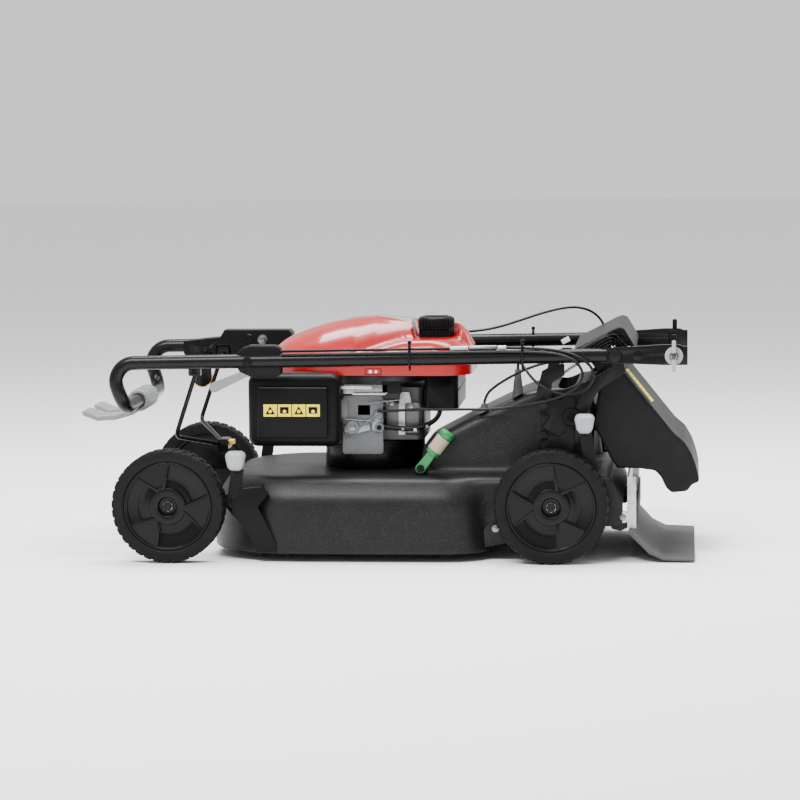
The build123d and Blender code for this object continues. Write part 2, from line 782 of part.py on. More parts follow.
# ---- discharge guard and trail shield ----
guard_line = [(374, 239), (388, 338), (426, 340), (520, 223), (538, 208), (551, 186), (559, 163),
              (565, 136), (551, 131), (543, 119), (514, 116), (504, 126), (496, 144), (485, 156),
              (454, 160), (417, 160), (407, 173)]
GUARD_HALF = 162.0
with BuildPart() as discharge_guard:
    with BuildSketch(side(GUARD_HALF)):
        Polygon(*guard_line, align=None)
    extrude(amount=2 * GUARD_HALF)
    with BuildSketch(side(GUARD_HALF - 4)):
        Polygon((360, 239), (375, 334), (424, 336), (516, 220), (533, 206), (546, 185), (554, 163),
                (560, 139), (549, 135), (541, 123), (516, 120), (507, 128), (499, 147), (487, 160),
                (454, 164), (417, 164), (395, 173), align=None)
    extrude(amount=2 * GUARD_HALF - 8, mode=Mode.SUBTRACT)
    with BuildSketch(side(GUARD_HALF + 1)):
        with Locations(GUARD_HINGE):
            Circle(9)
    extrude(amount=2 * GUARD_HALF + 2, mode=Mode.SUBTRACT)
    for y in (-GUARD_HALF + 24, GUARD_HALF):
        with BuildSketch(side(y)):
            with Locations(GUARD_HINGE):
                Circle(10)
                Circle(4.05, mode=Mode.SUBTRACT)
        extrude(amount=24)
write(discharge_guard, "discharge_guard")

SHIELD_HINGE = (443.0, 54.0)
SHIELD_BEAD_R = 3.8          # the bead that the shield turns on, under the rear plate
with BuildPart() as trail_shield:
    with BuildSketch(side(228)):
        Polygon((440, 50), (452, 38), (475, 15), (500, 4), (556, 2), (556, 5.5), (501, 8),
                (477, 20), (455, 44), (446, 56), (440, 56), align=None)
        with Locations(SHIELD_HINGE):
            Circle(SHIELD_BEAD_R)
    extrude(amount=456)
write(trail_shield, "trail_shield")

# ---- cable boots, where cables go into the deck ----
with BuildPart() as cable_boots:
    for x, y, z_low, z_high in ((240, -150, 284, 338), (179, -150, 252, 276), (372, 182, 150, 192)):
        with Locations((x, y, z_low)):
            Cone(11, 5, z_high - z_low, align=(Align.CENTER, Align.CENTER, Align.MIN))
    with BuildSketch(side(TUNNEL_FAR)):
        Polygon(*tunnel_line, align=None)
    extrude(amount=TUNNEL_FAR - TUNNEL_NEAR, mode=Mode.SUBTRACT)
write(cable_boots, "cable_boots")

# ---- cables and the fuel hose: straight runs joined by tangent arcs ----
routes = {
    "cable_far": (CABLE_R, [
        (-207.7, 203, 373.6), (-120, 200, 375), (-20, 199, 376.5), (75, 199, 377.5), (147, 200, 381),
        (189, 200, 389), (229, 200, 402), (265, 200, 414), (299, 200, 423), (330, 201, 427),
        (357, 205, 421), (377, 212, 406), (388, 218, 384), (389, 219, 356), (389, 216, 325),
        (391, 207, 293), (388, 195, 262), (379, 186, 235), (372, 182, 212), (372, 182, 192.3)]),
    "cable_loop": (CABLE_R, [
        (-179.7, -200, 374.5), (-80, -200, 376), (20, -200, 377), (115, -200, 378.5), (195, -201, 380),
        (250, -203, 380), (290, -208, 379), (328, -215, 374), (358, -219, 362), (377, -220, 344),
        (377, -220, 322), (363, -219, 305), (340, -217, 297), (314, -215, 299), (291, -211, 309),
        (272, -203, 321), (260, -189, 334), (250, -172, 347), (243, -158, 352), (240, -150, 347),
        (240, -150, 338)]),
    "cable_deck": (CABLE_R, [
        (351.7, -170, 357), (326, -169, 356), (298, -167, 352), (271, -165, 345), (249, -164, 336),
        (231, -163, 327), (212, -160, 316), (195, -156, 304), (183, -152, 292), (179, -150, 277)]),
    "cable_engine": (CABLE_R, [
        (-14.5, -140, 261), (20, -142, 262), (60, -147, 265), (105, -156, 265), (145, -166, 267),
        (182, -172, 267), (217, -179, 270), (247, -192, 275), (274, -206, 281), (303, -216, 288),
        (331, -223, 299), (351, -227, 314), (360, -228, 332), (354, -227, 350), (336, -223, 364),
        (310, -218, 371.5), (278, -213, 373), (236, -212, 374), (180, -212, 373.4), (110, -212, 372.4),
        (20, -211.5, 371.5), (-80, -211.5, 370), (-179.5, -211, 369)]),
    "fuel_hose": (HOSE_R, [
        (-14, -118, 232), (10, -121, 229), (38, -124, 227), (65, -122, 230), (86, -113, 240),
        (95, -103, 252), (96, -100, 260.4)]),
}
for node, (r, points) in routes.items():
    spots = [Vector(*p) for p in points]
    runs = [(b - a) for a, b in zip(spots, spots[1:])]
    radii = [0.45 * min(a.length, b.length) / tan(radians(a.get_angle(b)) / 2)
             for a, b in zip(runs, runs[1:])]
    with BuildPart() as cable:
        with BuildLine() as line:
            FilletPolyline(*points, radius=radii)
        with BuildSketch(Plane(line.line @ 0, z_dir=line.line % 0)):
            Circle(r)
        sweep()
    length = line.wire().length
    print(node, "length", round(length, 1), "volume ratio",
          round(cable.part.volume / (pi * r * r * length), 4),
          "radii", [round(value) for value in radii])
    write(cable, node)
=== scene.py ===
import json
from contextlib import contextmanager
from math import atan2, cos, degrees, pi, radians, sin, sqrt

import bpy
from mathutils import Matrix, Vector

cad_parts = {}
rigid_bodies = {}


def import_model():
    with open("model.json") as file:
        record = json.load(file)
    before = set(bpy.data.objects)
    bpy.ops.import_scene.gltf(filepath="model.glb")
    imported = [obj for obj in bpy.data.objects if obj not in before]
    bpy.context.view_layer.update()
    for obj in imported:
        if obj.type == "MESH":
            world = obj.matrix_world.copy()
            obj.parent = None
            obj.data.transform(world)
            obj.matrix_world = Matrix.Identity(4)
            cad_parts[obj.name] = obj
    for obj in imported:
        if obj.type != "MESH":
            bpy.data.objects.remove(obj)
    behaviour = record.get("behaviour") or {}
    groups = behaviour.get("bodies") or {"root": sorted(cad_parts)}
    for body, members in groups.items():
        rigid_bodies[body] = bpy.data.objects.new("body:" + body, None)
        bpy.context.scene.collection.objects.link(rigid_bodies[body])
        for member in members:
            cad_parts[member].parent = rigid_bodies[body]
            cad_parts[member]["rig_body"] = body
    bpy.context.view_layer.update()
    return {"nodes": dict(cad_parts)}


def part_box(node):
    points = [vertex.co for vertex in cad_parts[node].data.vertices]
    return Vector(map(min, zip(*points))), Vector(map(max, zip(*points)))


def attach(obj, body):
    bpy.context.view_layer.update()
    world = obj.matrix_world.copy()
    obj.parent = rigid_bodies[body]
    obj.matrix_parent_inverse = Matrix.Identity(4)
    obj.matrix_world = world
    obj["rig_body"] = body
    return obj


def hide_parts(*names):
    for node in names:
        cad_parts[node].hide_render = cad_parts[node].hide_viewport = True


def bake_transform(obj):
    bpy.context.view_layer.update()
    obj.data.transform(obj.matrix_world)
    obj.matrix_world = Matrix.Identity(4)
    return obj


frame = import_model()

NODES = frame["nodes"]
MM = 0.001
HANDS = (("left", -1), ("right", 1))

bl_info = {
    "name": "Folding push mower",
    "version": (1, 0, 0),
    "blender": (4, 5, 0),
    "location": "View3D > Sidebar > Mower",
    "description": "Builds the visible pieces of a push mower round its packed frame",
    "category": "Object",
}


# ---------------------------------------------------------------- colours and nodes

def linear(hex_colour):
    """An sRGB hex colour as linear RGBA."""
    value = hex_colour.lstrip("#")
    channels = [int(value[i:i + 2], 16) / 255 for i in (0, 2, 4)]
    toned = [c / 12.92 if c <= 0.04045 else ((c + 0.055) / 1.055) ** 2.4 for c in channels]
    return (*toned, 1.0)


def put(tree, kind, inputs=None, stops=(), **settings):
    """Add one node: its settings, its ramp's (place, hex colour) stops, then each input's value or link."""
    made = tree.nodes.new(kind)
    for name, value in settings.items():
        setattr(made, name, value)
    if stops:
        ends = made.color_ramp.elements
        for end, (place, colour) in ((ends[0], stops[0]), (ends[1], stops[-1])):
            end.position, end.color = place, linear(colour)
        for place, colour in stops[1:-1]:
            ends.new(place).color = linear(colour)
    for key, value in (inputs or {}).items():
        if isinstance(value, bpy.types.NodeSocket):
            tree.links.new(value, made.inputs[key])
        else:
            made.inputs[key].default_value = value
    return made


def finish_of(name, stops, rough, grain_mm, depth_mm, patch_mm=60, metallic=0.0, ior=1.5, coat=0.0,
              coat_rough=0.05, stretch=(1, 1, 1), specular=0.5):
    """A finish whose colour wanders over patches and whose grain gives bump and a range of roughness."""
    material = bpy.data.materials.new(name)
    material.use_nodes = True
    tree = material.node_tree
    tree.nodes.clear()
    place = put(tree, "ShaderNodeTexCoord").outputs["Object"]
    if stretch != (1, 1, 1):
        place = put(tree, "ShaderNodeMapping", {"Vector": place, "Scale": stretch}).outputs["Vector"]
    patch = put(tree, "ShaderNodeTexNoise", {"Vector": place, "Scale": 1000 / patch_mm, "Detail": 6.0,
                                             "Roughness": 0.6}).outputs["Fac"]
    grain = put(tree, "ShaderNodeTexNoise", {"Vector": place, "Scale": 1000 / grain_mm, "Detail": 3.0,
                                             "Roughness": 0.55}).outputs["Fac"]
    blend = put(tree, "ShaderNodeMath", {0: patch, 1: grain}, operation="ADD")
    half = put(tree, "ShaderNodeMath", {0: blend.outputs[0], 1: 0.5}, operation="MULTIPLY")
    colour = put(tree, "ShaderNodeValToRGB", {"Fac": half.outputs[0]}, stops).outputs["Color"]
    roughness = put(tree, "ShaderNodeMapRange", {"Value": half.outputs[0], "From Min": 0.3, "From Max": 0.7,
                                                 "To Min": rough[0], "To Max": rough[1]}).outputs[0]
    bump = put(tree, "ShaderNodeBump", {"Height": grain, "Strength": 0.5, "Distance": depth_mm * MM})
    shader = put(tree, "ShaderNodeBsdfPrincipled", {
        "Base Color": colour, "Roughness": roughness, "Metallic": metallic, "IOR": ior,
        "Coat Weight": coat, "Coat Roughness": coat_rough, "Specular IOR Level": specular,
        "Normal": bump.outputs["Normal"]})
    put(tree, "ShaderNodeOutputMaterial", {"Surface": shader.outputs["BSDF"]})
    return material


# Each finish: what it is called, its stops of colour, its range of roughness, the width and depth of its
# grain in millimetres, and what else finish_of is told.
RECIPES = {
    # Moulded polymer with mica: near-black; the glints of its mica are painted as fine pale flecks in its
    # colour.
    "deck_polymer": ("Moulded_mica_polymer", [(0.3, "#0c0c0d"), (0.5, "#111112"), (0.7, "#181819")],
                     (0.34, 0.48), 1.2, 0.1, {"specular": 0.2}),
    # Moulded ABS with a fine etched grain: soft broad highlights, no mirror.
    "black_plastic": ("Black_moulded_ABS", [(0.3, "#09090a"), (0.7, "#101011")],
                     (0.34, 0.46), 1.1, 0.03, {"specular": 0.1}),
    # Smooth moulded ABS: dark with clear, slightly soft highlights.
    "gloss_black_plastic": ("Smooth_black_ABS", [(0.3, "#070708"), (0.7, "#0c0c0d")],
                           (0.2, 0.3), 3.0, 0.012, {"specular": 0.15}),
    # Ribbed polymer guard, greyed by grass dust that dulls it in patches.
    "dusty_plastic": ("Dusty_black_polymer", [(0.32, "#0b0b0c"), (0.5, "#111112"), (0.7, "#19191b")],
                     (0.36, 0.56), 1.5, 0.07, {"patch_mm": 45, "specular": 0.13}),
    # High-gloss pigmented ABS: saturated red under a hard clear shine.
    "red_abs": ("Gloss_red_ABS", [(0.3, "#8e0007"), (0.7, "#9c0009")],
               (0.2, 0.27), 9.0, 0.02, {"patch_mm": 120, "coat": 0.35, "coat_rough": 0.05, "specular": 0.4}),
    # Pale grey nylon of the paddles: satin, faintly soiled where hands rest.
    "pale_polymer": ("Pale_grey_nylon", [(0.3, "#66696b"), (0.55, "#737678"), (0.7, "#7e8183")],
                    (0.38, 0.52), 1.4, 0.08, {"patch_mm": 35}),
    # Mid-grey nylon of the height knobs: satin with a fine grain.
    "knob_polymer": ("Grey_nylon", [(0.3, "#85888a"), (0.7, "#999c9e")], (0.36, 0.5), 1.4, 0.05, {}),
    # Green moulded nylon: satin, a little deeper in patches.
    "green_polymer": ("Green_nylon", [(0.3, "#04602a"), (0.7, "#087838")], (0.36, 0.50), 1.2, 0.08, {}),
    # Beige soft-touch grip sleeve: matte with a fine grain.
    "beige_polymer": ("Beige_grip_sleeve", [(0.3, "#8d826c"), (0.7, "#9f937b")],
                     (0.5, 0.66), 1.0, 0.10, {}),
    # Bright yellow ABS of safety buttons: smooth with a clear shine.
    "yellow_abs": ("Yellow_ABS", [(0.3, "#e6ad08"), (0.7, "#f7c410")], (0.24, 0.34), 2.0, 0.04, {}),
    # Blue acetal edge of the bush: smooth.
    "blue_polymer": ("Blue_acetal", [(0.3, "#2a63a8"), (0.7, "#3a78c2")], (0.3, 0.4), 2.0, 0.04, {}),
    # White acetal roller: smooth and slightly dusty.
    "white_polymer": ("White_acetal", [(0.3, "#c9c8c2"), (0.7, "#e2e1dc")], (0.34, 0.48), 2.0, 0.05, {}),
    # Moulded tread rubber: near-black, dry, with pale dust in the mottling.
    "tyre_rubber": ("Tread_rubber", [(0.3, "#0a0a0b"), (0.52, "#0f0f10"), (0.72, "#171718")],
                   (0.5, 0.68), 2.2, 0.12, {"patch_mm": 30, "specular": 0.12}),
    # Grey extruded rubber of the trail shield: matte, scuffed.
    "shield_rubber": ("Grey_flap_rubber", [(0.3, "#343435"), (0.7, "#464648")],
                     (0.6, 0.8), 3.0, 0.2, {"patch_mm": 40}),
    # PVC cable sheath: black with a soft sheen.
    "cable_sheath": ("Cable_PVC", [(0.3, "#080809"), (0.7, "#0e0e0f")],
                    (0.28, 0.4), 1.5, 0.02, {"specular": 0.22}),
    # Black powder coat on steel tube: satin with slight orange peel.
    "powder_coat": ("Black_powder_coat", [(0.3, "#080809"), (0.7, "#0d0d0e")],
                   (0.24, 0.32), 6.0, 0.008, {"specular": 0.18}),
    # Black painted pressed steel: satin, a touch greyer at its scuffs.
    "painted_plate": ("Black_painted_steel", [(0.3, "#0a0a0b"), (0.62, "#101011"), (0.75, "#1c1c1d")],
                     (0.28, 0.42), 4.0, 0.015, {"specular": 0.15}),
    # Bright zinc-plated steel: cool grey metal with cloudy patches.
    "zinc_plate": ("Zinc_plated_steel", [(0.3, "#5e6062"), (0.7, "#88898b")],
                  (0.22, 0.38), 4.0, 0.05, {"patch_mm": 25, "metallic": 1.0}),
    # Hot-dip galvanised sheet: pale crystalline spangle.
    "galvanised": ("Galvanised_sheet", [(0.3, "#9ea1a2"), (0.5, "#b8bab9"), (0.7, "#cdcfce")],
                  (0.36, 0.56), 7.0, 0.05, {"patch_mm": 18, "metallic": 0.9}),
    # Die-cast aluminium: dull grey with a coarse cast skin.
    "cast_metal": ("Cast_aluminium", [(0.3, "#4d4e4f"), (0.7, "#747576")],
                  (0.42, 0.62), 1.8, 0.25, {"metallic": 0.85}),
    # Machined steel: fine turned sheen.
    "machined_steel": ("Machined_steel", [(0.3, "#86888a"), (0.7, "#a4a6a7")],
                      (0.24, 0.4), 1.2, 0.04, {"metallic": 1.0, "stretch": (1, 1, 8)}),
    # Pleated filter paper: cream, fibrous and matte.
    "filter_paper": ("Filter_paper", [(0.3, "#c8b98b"), (0.7, "#e0d3aa")], (0.8, 0.95), 0.9, 0.2, {}),
    # Printed vinyl: pale and semi-gloss.
    "label_film": ("Pale_label_film", [(0.3, "#b7b9ba"), (0.7, "#c9cbcb")], (0.3, 0.4), 6.0, 0.02, {}),
    # Printed vinyl, warm yellow.
    "label_yellow": ("Yellow_label_film", [(0.3, "#d8c200"), (0.7, "#e6d206")], (0.3, 0.4), 6.0, 0.02, {}),
    # Satin grey foil stripe on the cover.
    "stripe_grey": ("Grey_foil", [(0.3, "#6f7377"), (0.7, "#858a8e")], (0.25, 0.36), 6.0, 0.02, {}),
}
# Size of the pale flecks that paint the mica's glints.
MICA_GLINT_MM = 1.5          # coarser than the real mica, so that it shows


def add_painted_mica_glints(material):
    """Painted glints of the mica in a moulded polymer: small round pale flecks in about half of the cells."""
    tree = material.node_tree
    shader = tree.nodes["Principled BSDF"]
    place = put(tree, "ShaderNodeTexCoord").outputs["Object"]
    fleck = put(tree, "ShaderNodeTexVoronoi", {"Vector": place, "Scale": 1000 / MICA_GLINT_MM}, feature="F1")
    bright = put(tree, "ShaderNodeMapRange", {"Value": fleck.outputs["Distance"], "From Min": 0.0,
                                              "From Max": 0.26, "To Min": 1.0, "To Max": 0.0})
    lucky = put(tree, "ShaderNodeMath", {0: put(tree, "ShaderNodeSeparateColor", {
        "Color": fleck.outputs["Color"]}).outputs["Red"], 1: 0.55}, operation="GREATER_THAN")
    mask = put(tree, "ShaderNodeMath", {0: bright.outputs[0], 1: lucky.outputs[0]}, operation="MULTIPLY")
    # The flecks' pale grey is a painted glint, mixed into the base colour.
    mixed = put(tree, "ShaderNodeMix", {"Factor": mask.outputs[0],
                                        "A": shader.inputs["Base Color"].links[0].from_socket,
                                        "B": linear("#6a6b6d")}, data_type="RGBA")
    tree.links.new(mixed.outputs["Result"], shader.inputs["Base Color"])


FINISHES = {}


def finish(name):
    """Each finish is made once, when a piece first asks for it."""
    if name not in FINISHES:
        *basics, rest = RECIPES[name]
        FINISHES[name] = finish_of(*basics, **rest)
        # The deck's mica glints are painted into its colour as pale flecks.
        if name == "deck_polymer":
            add_painted_mica_glints(FINISHES[name])
    return FINISHES[name]


# ---------------------------------------------------------------- modelling by hand, in code

def deselect():
    """Object mode, with nothing selected."""
    if bpy.context.object and bpy.context.object.mode != "OBJECT":
        bpy.ops.object.mode_set(mode="OBJECT")
    bpy.ops.object.select_all(action="DESELECT")


def pick(obj):
    """Make this the only selected object, and the active one."""
    deselect()
    obj.select_set(True)
    bpy.context.view_layer.objects.active = obj


def linked(name, data):
    """A new object of a mesh or a curve, picked."""
    obj = bpy.data.objects.new(name, data)
    bpy.context.scene.collection.objects.link(obj)
    pick(obj)
    return obj


@contextmanager
def editing(obj):
    """Edit mode on one object, all of it selected, and object mode afterwards."""
    pick(obj)
    bpy.ops.object.mode_set(mode="EDIT")
    bpy.ops.mesh.select_all(action="SELECT")
    yield
    bpy.ops.object.mode_set(mode="OBJECT")


def settle(obj):
    """Leave the object at the origin, unturned, with its place in its mesh."""
    pick(obj)
    bpy.ops.object.transform_apply(location=True, rotation=True, scale=True)
    return obj


def tidy_mesh(obj, smooth=35):
    """Merge doubles, face outwards and shade smooth up to an angle."""
    with editing(obj):
        bpy.ops.mesh.remove_doubles(threshold=0.00001)
        bpy.ops.mesh.normals_make_consistent(inside=False)
    bpy.ops.object.shade_smooth_by_angle(angle=radians(smooth))
    return obj


def apply_modifier(obj, kind, **settings):
    """Add one modifier, set it and apply it."""
    pick(obj)
    made = obj.modifiers.new(kind.title(), kind)
    for name, value in settings.items():
        setattr(made, name, value)
    bpy.ops.object.modifier_apply(modifier=made.name)
    return obj


def soften(obj, width_mm, segments=2, angle=30):
    """Round every edge sharper than the angle."""
    return apply_modifier(obj, "BEVEL", width=width_mm * MM, segments=segments, limit_method="ANGLE",
                          angle_limit=radians(angle), use_clamp_overlap=True)


def place(obj, name, body, material, replaces=(), slot=None, smooth=35):
    """Name a finished piece, give it its finish, and let it ride on its body."""
    settle(obj)
    tidy_mesh(obj, smooth)
    obj.name = name
    obj.data.name = name
    if material:
        obj.data.materials.clear()
        obj.data.materials.append(finish(material))
    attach(obj, body)
    if replaces:
        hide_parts(*replaces)
    return obj


def box(centre, size, width_mm=1.0, segments=2, turn=(0, 0, 0)):
    """A block with rounded edges: centre and size in millimetres, turn in degrees."""
    deselect()
    bpy.ops.mesh.primitive_cube_add(size=1)
    obj = bpy.context.object
    obj.scale = [s * MM for s in size]
    settle(obj)
    soften(obj, width_mm, segments)
    obj.rotation_euler = [radians(t) for t in turn]
    obj.location = [c * MM for c in centre]
    return settle(obj)


def rod(start, end, radius_mm, sides=32, width_mm=0.6):
    """A round bar between two points in millimetres, its rims rounded."""
    a, b = Vector(start) * MM, Vector(end) * MM
    deselect()
    bpy.ops.mesh.primitive_cylinder_add(vertices=sides, radius=radius_mm * MM, depth=(b - a).length)
    obj = bpy.context.object
    soften(obj, width_mm, 2)
    obj.rotation_euler = (b - a).to_track_quat("Z", "Y").to_euler()
    obj.location = (a + b) / 2
    return settle(obj)


def skin(spots, faces, name, edges=()):
    """A mesh object of points in millimetres, with their faces or edges."""
    mesh = bpy.data.meshes.new(name)
    mesh.from_pydata([tuple(v * MM for v in spot) for spot in spots], edges, faces)
    return linked(name, mesh)


def patch(rule, across, along, thick_mm):
    """A thin sheet over a grid of points, given by a rule on two shares from 0 to 1."""
    spots = [rule(i / across, j / along) for j in range(along + 1) for i in range(across + 1)]
    row = across + 1
    faces = [(j * row + i, j * row + i + 1, (j + 1) * row + i + 1, (j + 1) * row + i)
             for j in range(along) for i in range(across)]
    return apply_modifier(skin(spots, faces, "patch"), "SOLIDIFY", thickness=thick_mm * MM, offset=0)


def plate(points, y_mm, depth_mm, width_mm=1.0):
    """An upright plate: its side outline in millimetres, from y outwards to y plus its depth."""
    obj = skin([(x, y_mm, z) for x, z in points], [list(range(len(points)))], "plate")
    with editing(obj):
        bpy.ops.mesh.extrude_region_move(TRANSFORM_OT_translate={"value": (0, depth_mm * MM, 0)})
        bpy.ops.mesh.select_all(action="SELECT")
        bpy.ops.mesh.normals_make_consistent(inside=False)
    return soften(obj, width_mm)


def nurbs_line(points, name, order, resolution):
    """A NURBS curve through its control points, in millimetres."""
    curve = bpy.data.curves.new(name, "CURVE")
    curve.dimensions = "3D"
    curve.resolution_u = resolution
    spline = curve.splines.new("NURBS")
    spline.points.add(len(points) - 1)
    for point, spot in zip(spline.points, points):
        point.co = (*[v * MM for v in spot], 1)
    spline.order_u = order
    spline.use_endpoint_u = True
    return curve


def tubed(obj, radius, sides):
    """The curve of an object, thickened to a radius in metres with closed ends, and made a mesh."""
    obj.data.bevel_depth = radius
    obj.data.bevel_resolution = sides
    obj.data.use_fill_caps = True
    pick(obj)
    bpy.ops.object.convert(target="MESH")
    return bpy.context.object


def tube(points, radius_mm, name="tube"):
    """A round tube of a NURBS line, in millimetres."""
    return tubed(linked(name, nurbs_line(points, name, 3, 10)), radius_mm * MM, 8)


def ring(profile, centre, axis="Y", steps=96):
    """Spin a closed (radius, along) outline in millimetres about an axis through the centre."""
    turn = {"X": lambda r, a: (a, 0, r), "Y": lambda r, a: (r, a, 0), "Z": lambda r, a: (r, 0, a)}[axis]
    count = len(profile)
    obj = skin([turn(r, a) for r, a in profile], [], "ring", [(i, (i + 1) % count) for i in range(count)])
    with editing(obj):
        about = {"X": (1, 0, 0), "Y": (0, 1, 0), "Z": (0, 0, 1)}[axis]
        bpy.ops.mesh.spin(steps=steps, angle=2 * pi, center=(0, 0, 0), axis=about)
        bpy.ops.mesh.select_all(action="SELECT")
        bpy.ops.mesh.remove_doubles(threshold=0.00001)
        bpy.ops.mesh.normals_make_consistent(inside=False)
    obj.location = [c * MM for c in centre]
    return settle(obj)


def join(pieces):
    """One object of several."""
    deselect()
    for piece in pieces:
        piece.select_set(True)
    bpy.context.view_layer.objects.active = pieces[0]
    bpy.ops.object.join()
    return bpy.context.object


def copy_of(obj):
    """A second object with its own mesh."""
    made = obj.copy()
    made.data = obj.data.copy()
    bpy.context.scene.collection.objects.link(made)
    return made


def from_frame(node, width_mm, segments=2, angle=28):
    """A CAD node's shape as a clean mesh with rounded edges."""
    obj = linked(node + "_shape", NODES[node].data.copy())
    with editing(obj):
        bpy.ops.mesh.remove_doubles(threshold=0.00002)
        bpy.ops.mesh.dissolve_limited(angle_limit=radians(0.5))
    if width_mm:
        soften(obj, width_mm, segments, angle)
    return obj


def rounded(node, material, width_mm=0.8, segments=2, angle=28, smooth=35):
    """Stand a rounded copy in for a CAD node, on the body that the node rides on."""
    body = NODES[node]["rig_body"]
    return place(from_frame(node, width_mm, segments, angle), node + "_skin", body, material, [node],
                 smooth=smooth)


def bolt(centre, facing, radius_mm=6.0, height_mm=4.0, sides=6):
    """A hexagon head with a washer: centre in millimetres, facing +1 or -1 along Y."""
    x, y, z = centre
    head = rod((x, y, z), (x, y + facing * height_mm, z), radius_mm, sides, 0.5)
    washer = rod((x, y - facing * 0.2, z), (x, y + facing * 1.2, z), radius_mm * 1.45, 32, 0.3)
    return join([head, washer])


def choose(obj, test):
    """Select, in face mode, the faces whose centre and normal pass the test (millimetres)."""
    pick(obj)
    bpy.ops.object.mode_set(mode="EDIT")
    bpy.context.tool_settings.mesh_select_mode = (False, False, True)
    bpy.ops.mesh.select_all(action="DESELECT")
    bpy.ops.object.mode_set(mode="OBJECT")
    for face in obj.data.polygons:
        face.select = bool(test(face.center / MM, face.normal))
    bpy.ops.object.mode_set(mode="EDIT")


def push(offset=(0, 0, 0)):
    """Extrude what is selected by an offset in millimetres."""
    bpy.ops.mesh.extrude_region_move(TRANSFORM_OT_translate={"value": tuple(v * MM for v in offset)})


def swell(distance_mm):
    """Extrude what is selected along its normals."""
    bpy.ops.mesh.extrude_region_shrink_fatten(TRANSFORM_OT_shrink_fatten={"value": distance_mm * MM})


def reshape(obj, rule):
    """Move every vertex by a rule on its place in millimetres."""
    deselect()
    for vertex in obj.data.vertices:
        vertex.co = Vector(rule(*(vertex.co / MM))) * MM
    obj.data.update()
    return obj


def polar(x, z):
    """Radius and angle in degrees, from +X towards +Z."""
    return sqrt(x * x + z * z), degrees(atan2(z, x)) % 360


def at(points, x):
    """The height at x of the straight runs through (x, height) points."""
    if x <= points[0][0]:
        return points[0][1]
    for (x0, z0), (x1, z1) in zip(points, points[1:]):
        if x <= x1:
            share = (x - x0) / (x1 - x0)
            return z0 + (z1 - z0) * share
    return points[-1][1]


# ---------------------------------------------------------------- sizes a user would change

class MowerSettings(bpy.types.PropertyGroup):
    """Sizes of the details that the frame leaves open."""

    tread_blocks: bpy.props.IntProperty(name="Tread blocks", description="Blocks round one shoulder",
                                        default=36, min=12, max=60)
    tread_depth: bpy.props.FloatProperty(name="Tread depth", description="Height of a tread block, mm",
                                         default=2.0, min=0.5, max=5)
    pocket_depth: bpy.props.FloatProperty(name="Rim pocket", description="First step of a rim pocket, mm",
                                          default=4.0, min=1, max=6)
    cap_ribs: bpy.props.IntProperty(name="Cap ribs", description="Grip ribs round the fuel cap",
                                    default=30, min=12, max=60)
    floor_colour: bpy.props.StringProperty(name="Floor", description="Floor colour, sRGB hex",
                                           default="#f4f4f5")


# ---------------------------------------------------------------- wheels

CORNERS = [(end, hand) for end in ("front", "rear") for hand in ("left", "right")]
WEDGE_AT = {"front": -8.5, "rear": 61.7}        # turn of the rim's first wedge panel, degrees
RIDGE = [(31, 0.2), (31, 6.4), (50, 3.6), (73, 1.4), (73, 0.2)]     # a wedge's ridge: radius, distance in
POCKET_STEP = 2.6                               # depth of the second and third steps of a pocket, mm


def tyre_shape(settings):
    """A tyre about the origin, its axle along Y: carcass, then blocks raised on both shoulders."""
    steps = settings.tread_blocks * 4
    outline = [(80, -20), (84, -21.5), (91, -22), (97.4, -20.8), (99.5, -16.5), (99.5, -5.5), (99.5, 5.5),
               (99.5, 16.5), (97.4, 20.8), (91, 22), (84, 21.5), (80, 20)]
    tyre = ring(outline, (0, 0, 0), "Y", steps)

    def block(centre, normal):
        radius, angle = polar(centre.x, centre.z)
        step = int(angle / 360 * steps)
        if radius < 97 or abs(centre.y) > 20.6:
            return False
        if abs(centre.y) < 5.5:
            return step % 4 in (1, 2)
        return (step + (2 if centre.y > 0 else 0)) % 4 != 0

    choose(tyre, block)
    swell(settings.tread_depth)
    return soften(tyre, 0.4, 1, 40)


def wedge_edge(radius):
    """Half the angle of a wedge panel at a radius: a V with straight sides."""
    return at([(30, 14.5), (32, 15), (42, 19.2), (54, 22.2), (73, 25)], radius)


def rim_shape(settings):
    """A rim about the origin, outer face towards -Y: three flush wedges between stepped pockets."""
    outline = [(80, -17), (78.6, -20), (75.6, -20), (74.6, -18), (72.6, -18), (54, -18), (42, -18),
               (33.7, -18), (32.2, -19.8), (17.8, -19.8), (16.2, -17.5), (15.4, -12), (10.6, -12),
               (6.36, -12), (6.36, 16), (16.5, 16), (17.6, -2), (71, -3), (74, 17), (80, 17)]
    rim = ring(outline, (0, 0, 0), "Y", 144)

    def warp(x, y, z):
        radius, angle = polar(x, z)
        off = (angle + 60) % 120 - 60
        middle = angle - off
        if 30 < radius < 73.5 and y < -10:
            edge = wedge_edge(radius)
            size = abs(off)
            size = size * edge / 25 if size <= 25 else edge + (size - 25) * (60 - edge) / 35
            off = size if off > 0 else -size
        turned = radians(middle + off)
        return radius * cos(turned), y, radius * sin(turned)

    reshape(rim, warp)

    def pocket(low, high):
        def test(centre, normal):
            radius, angle = polar(centre.x, centre.z)
            off = abs((angle + 60) % 120 - 60)
            return low < radius < high and off > wedge_edge(radius) and normal.y < -0.7 and centre.y < -8
        return test

    choose(rim, pocket(34, 72.4))
    push((0, settings.pocket_depth, 0))
    choose(rim, pocket(42.4, 72.4))
    push((0, POCKET_STEP, 0))
    choose(rim, pocket(42.4, 53.6))
    push((0, POCKET_STEP, 0))
    soften(rim, 0.7, 2, 30)
    ridges = [rim]
    for third in range(3):
        for side in (-1, 1):
            def spot(radius, inset):
                turned = radians(third * 120 + side * (wedge_edge(radius) - degrees(inset / radius)))
                return radius * cos(turned), radius * sin(turned)
            outline = [spot(*place) for place in RIDGE]
            ridges.append(plate(outline, -21.4, 5, 1.1))
    return join(ridges)


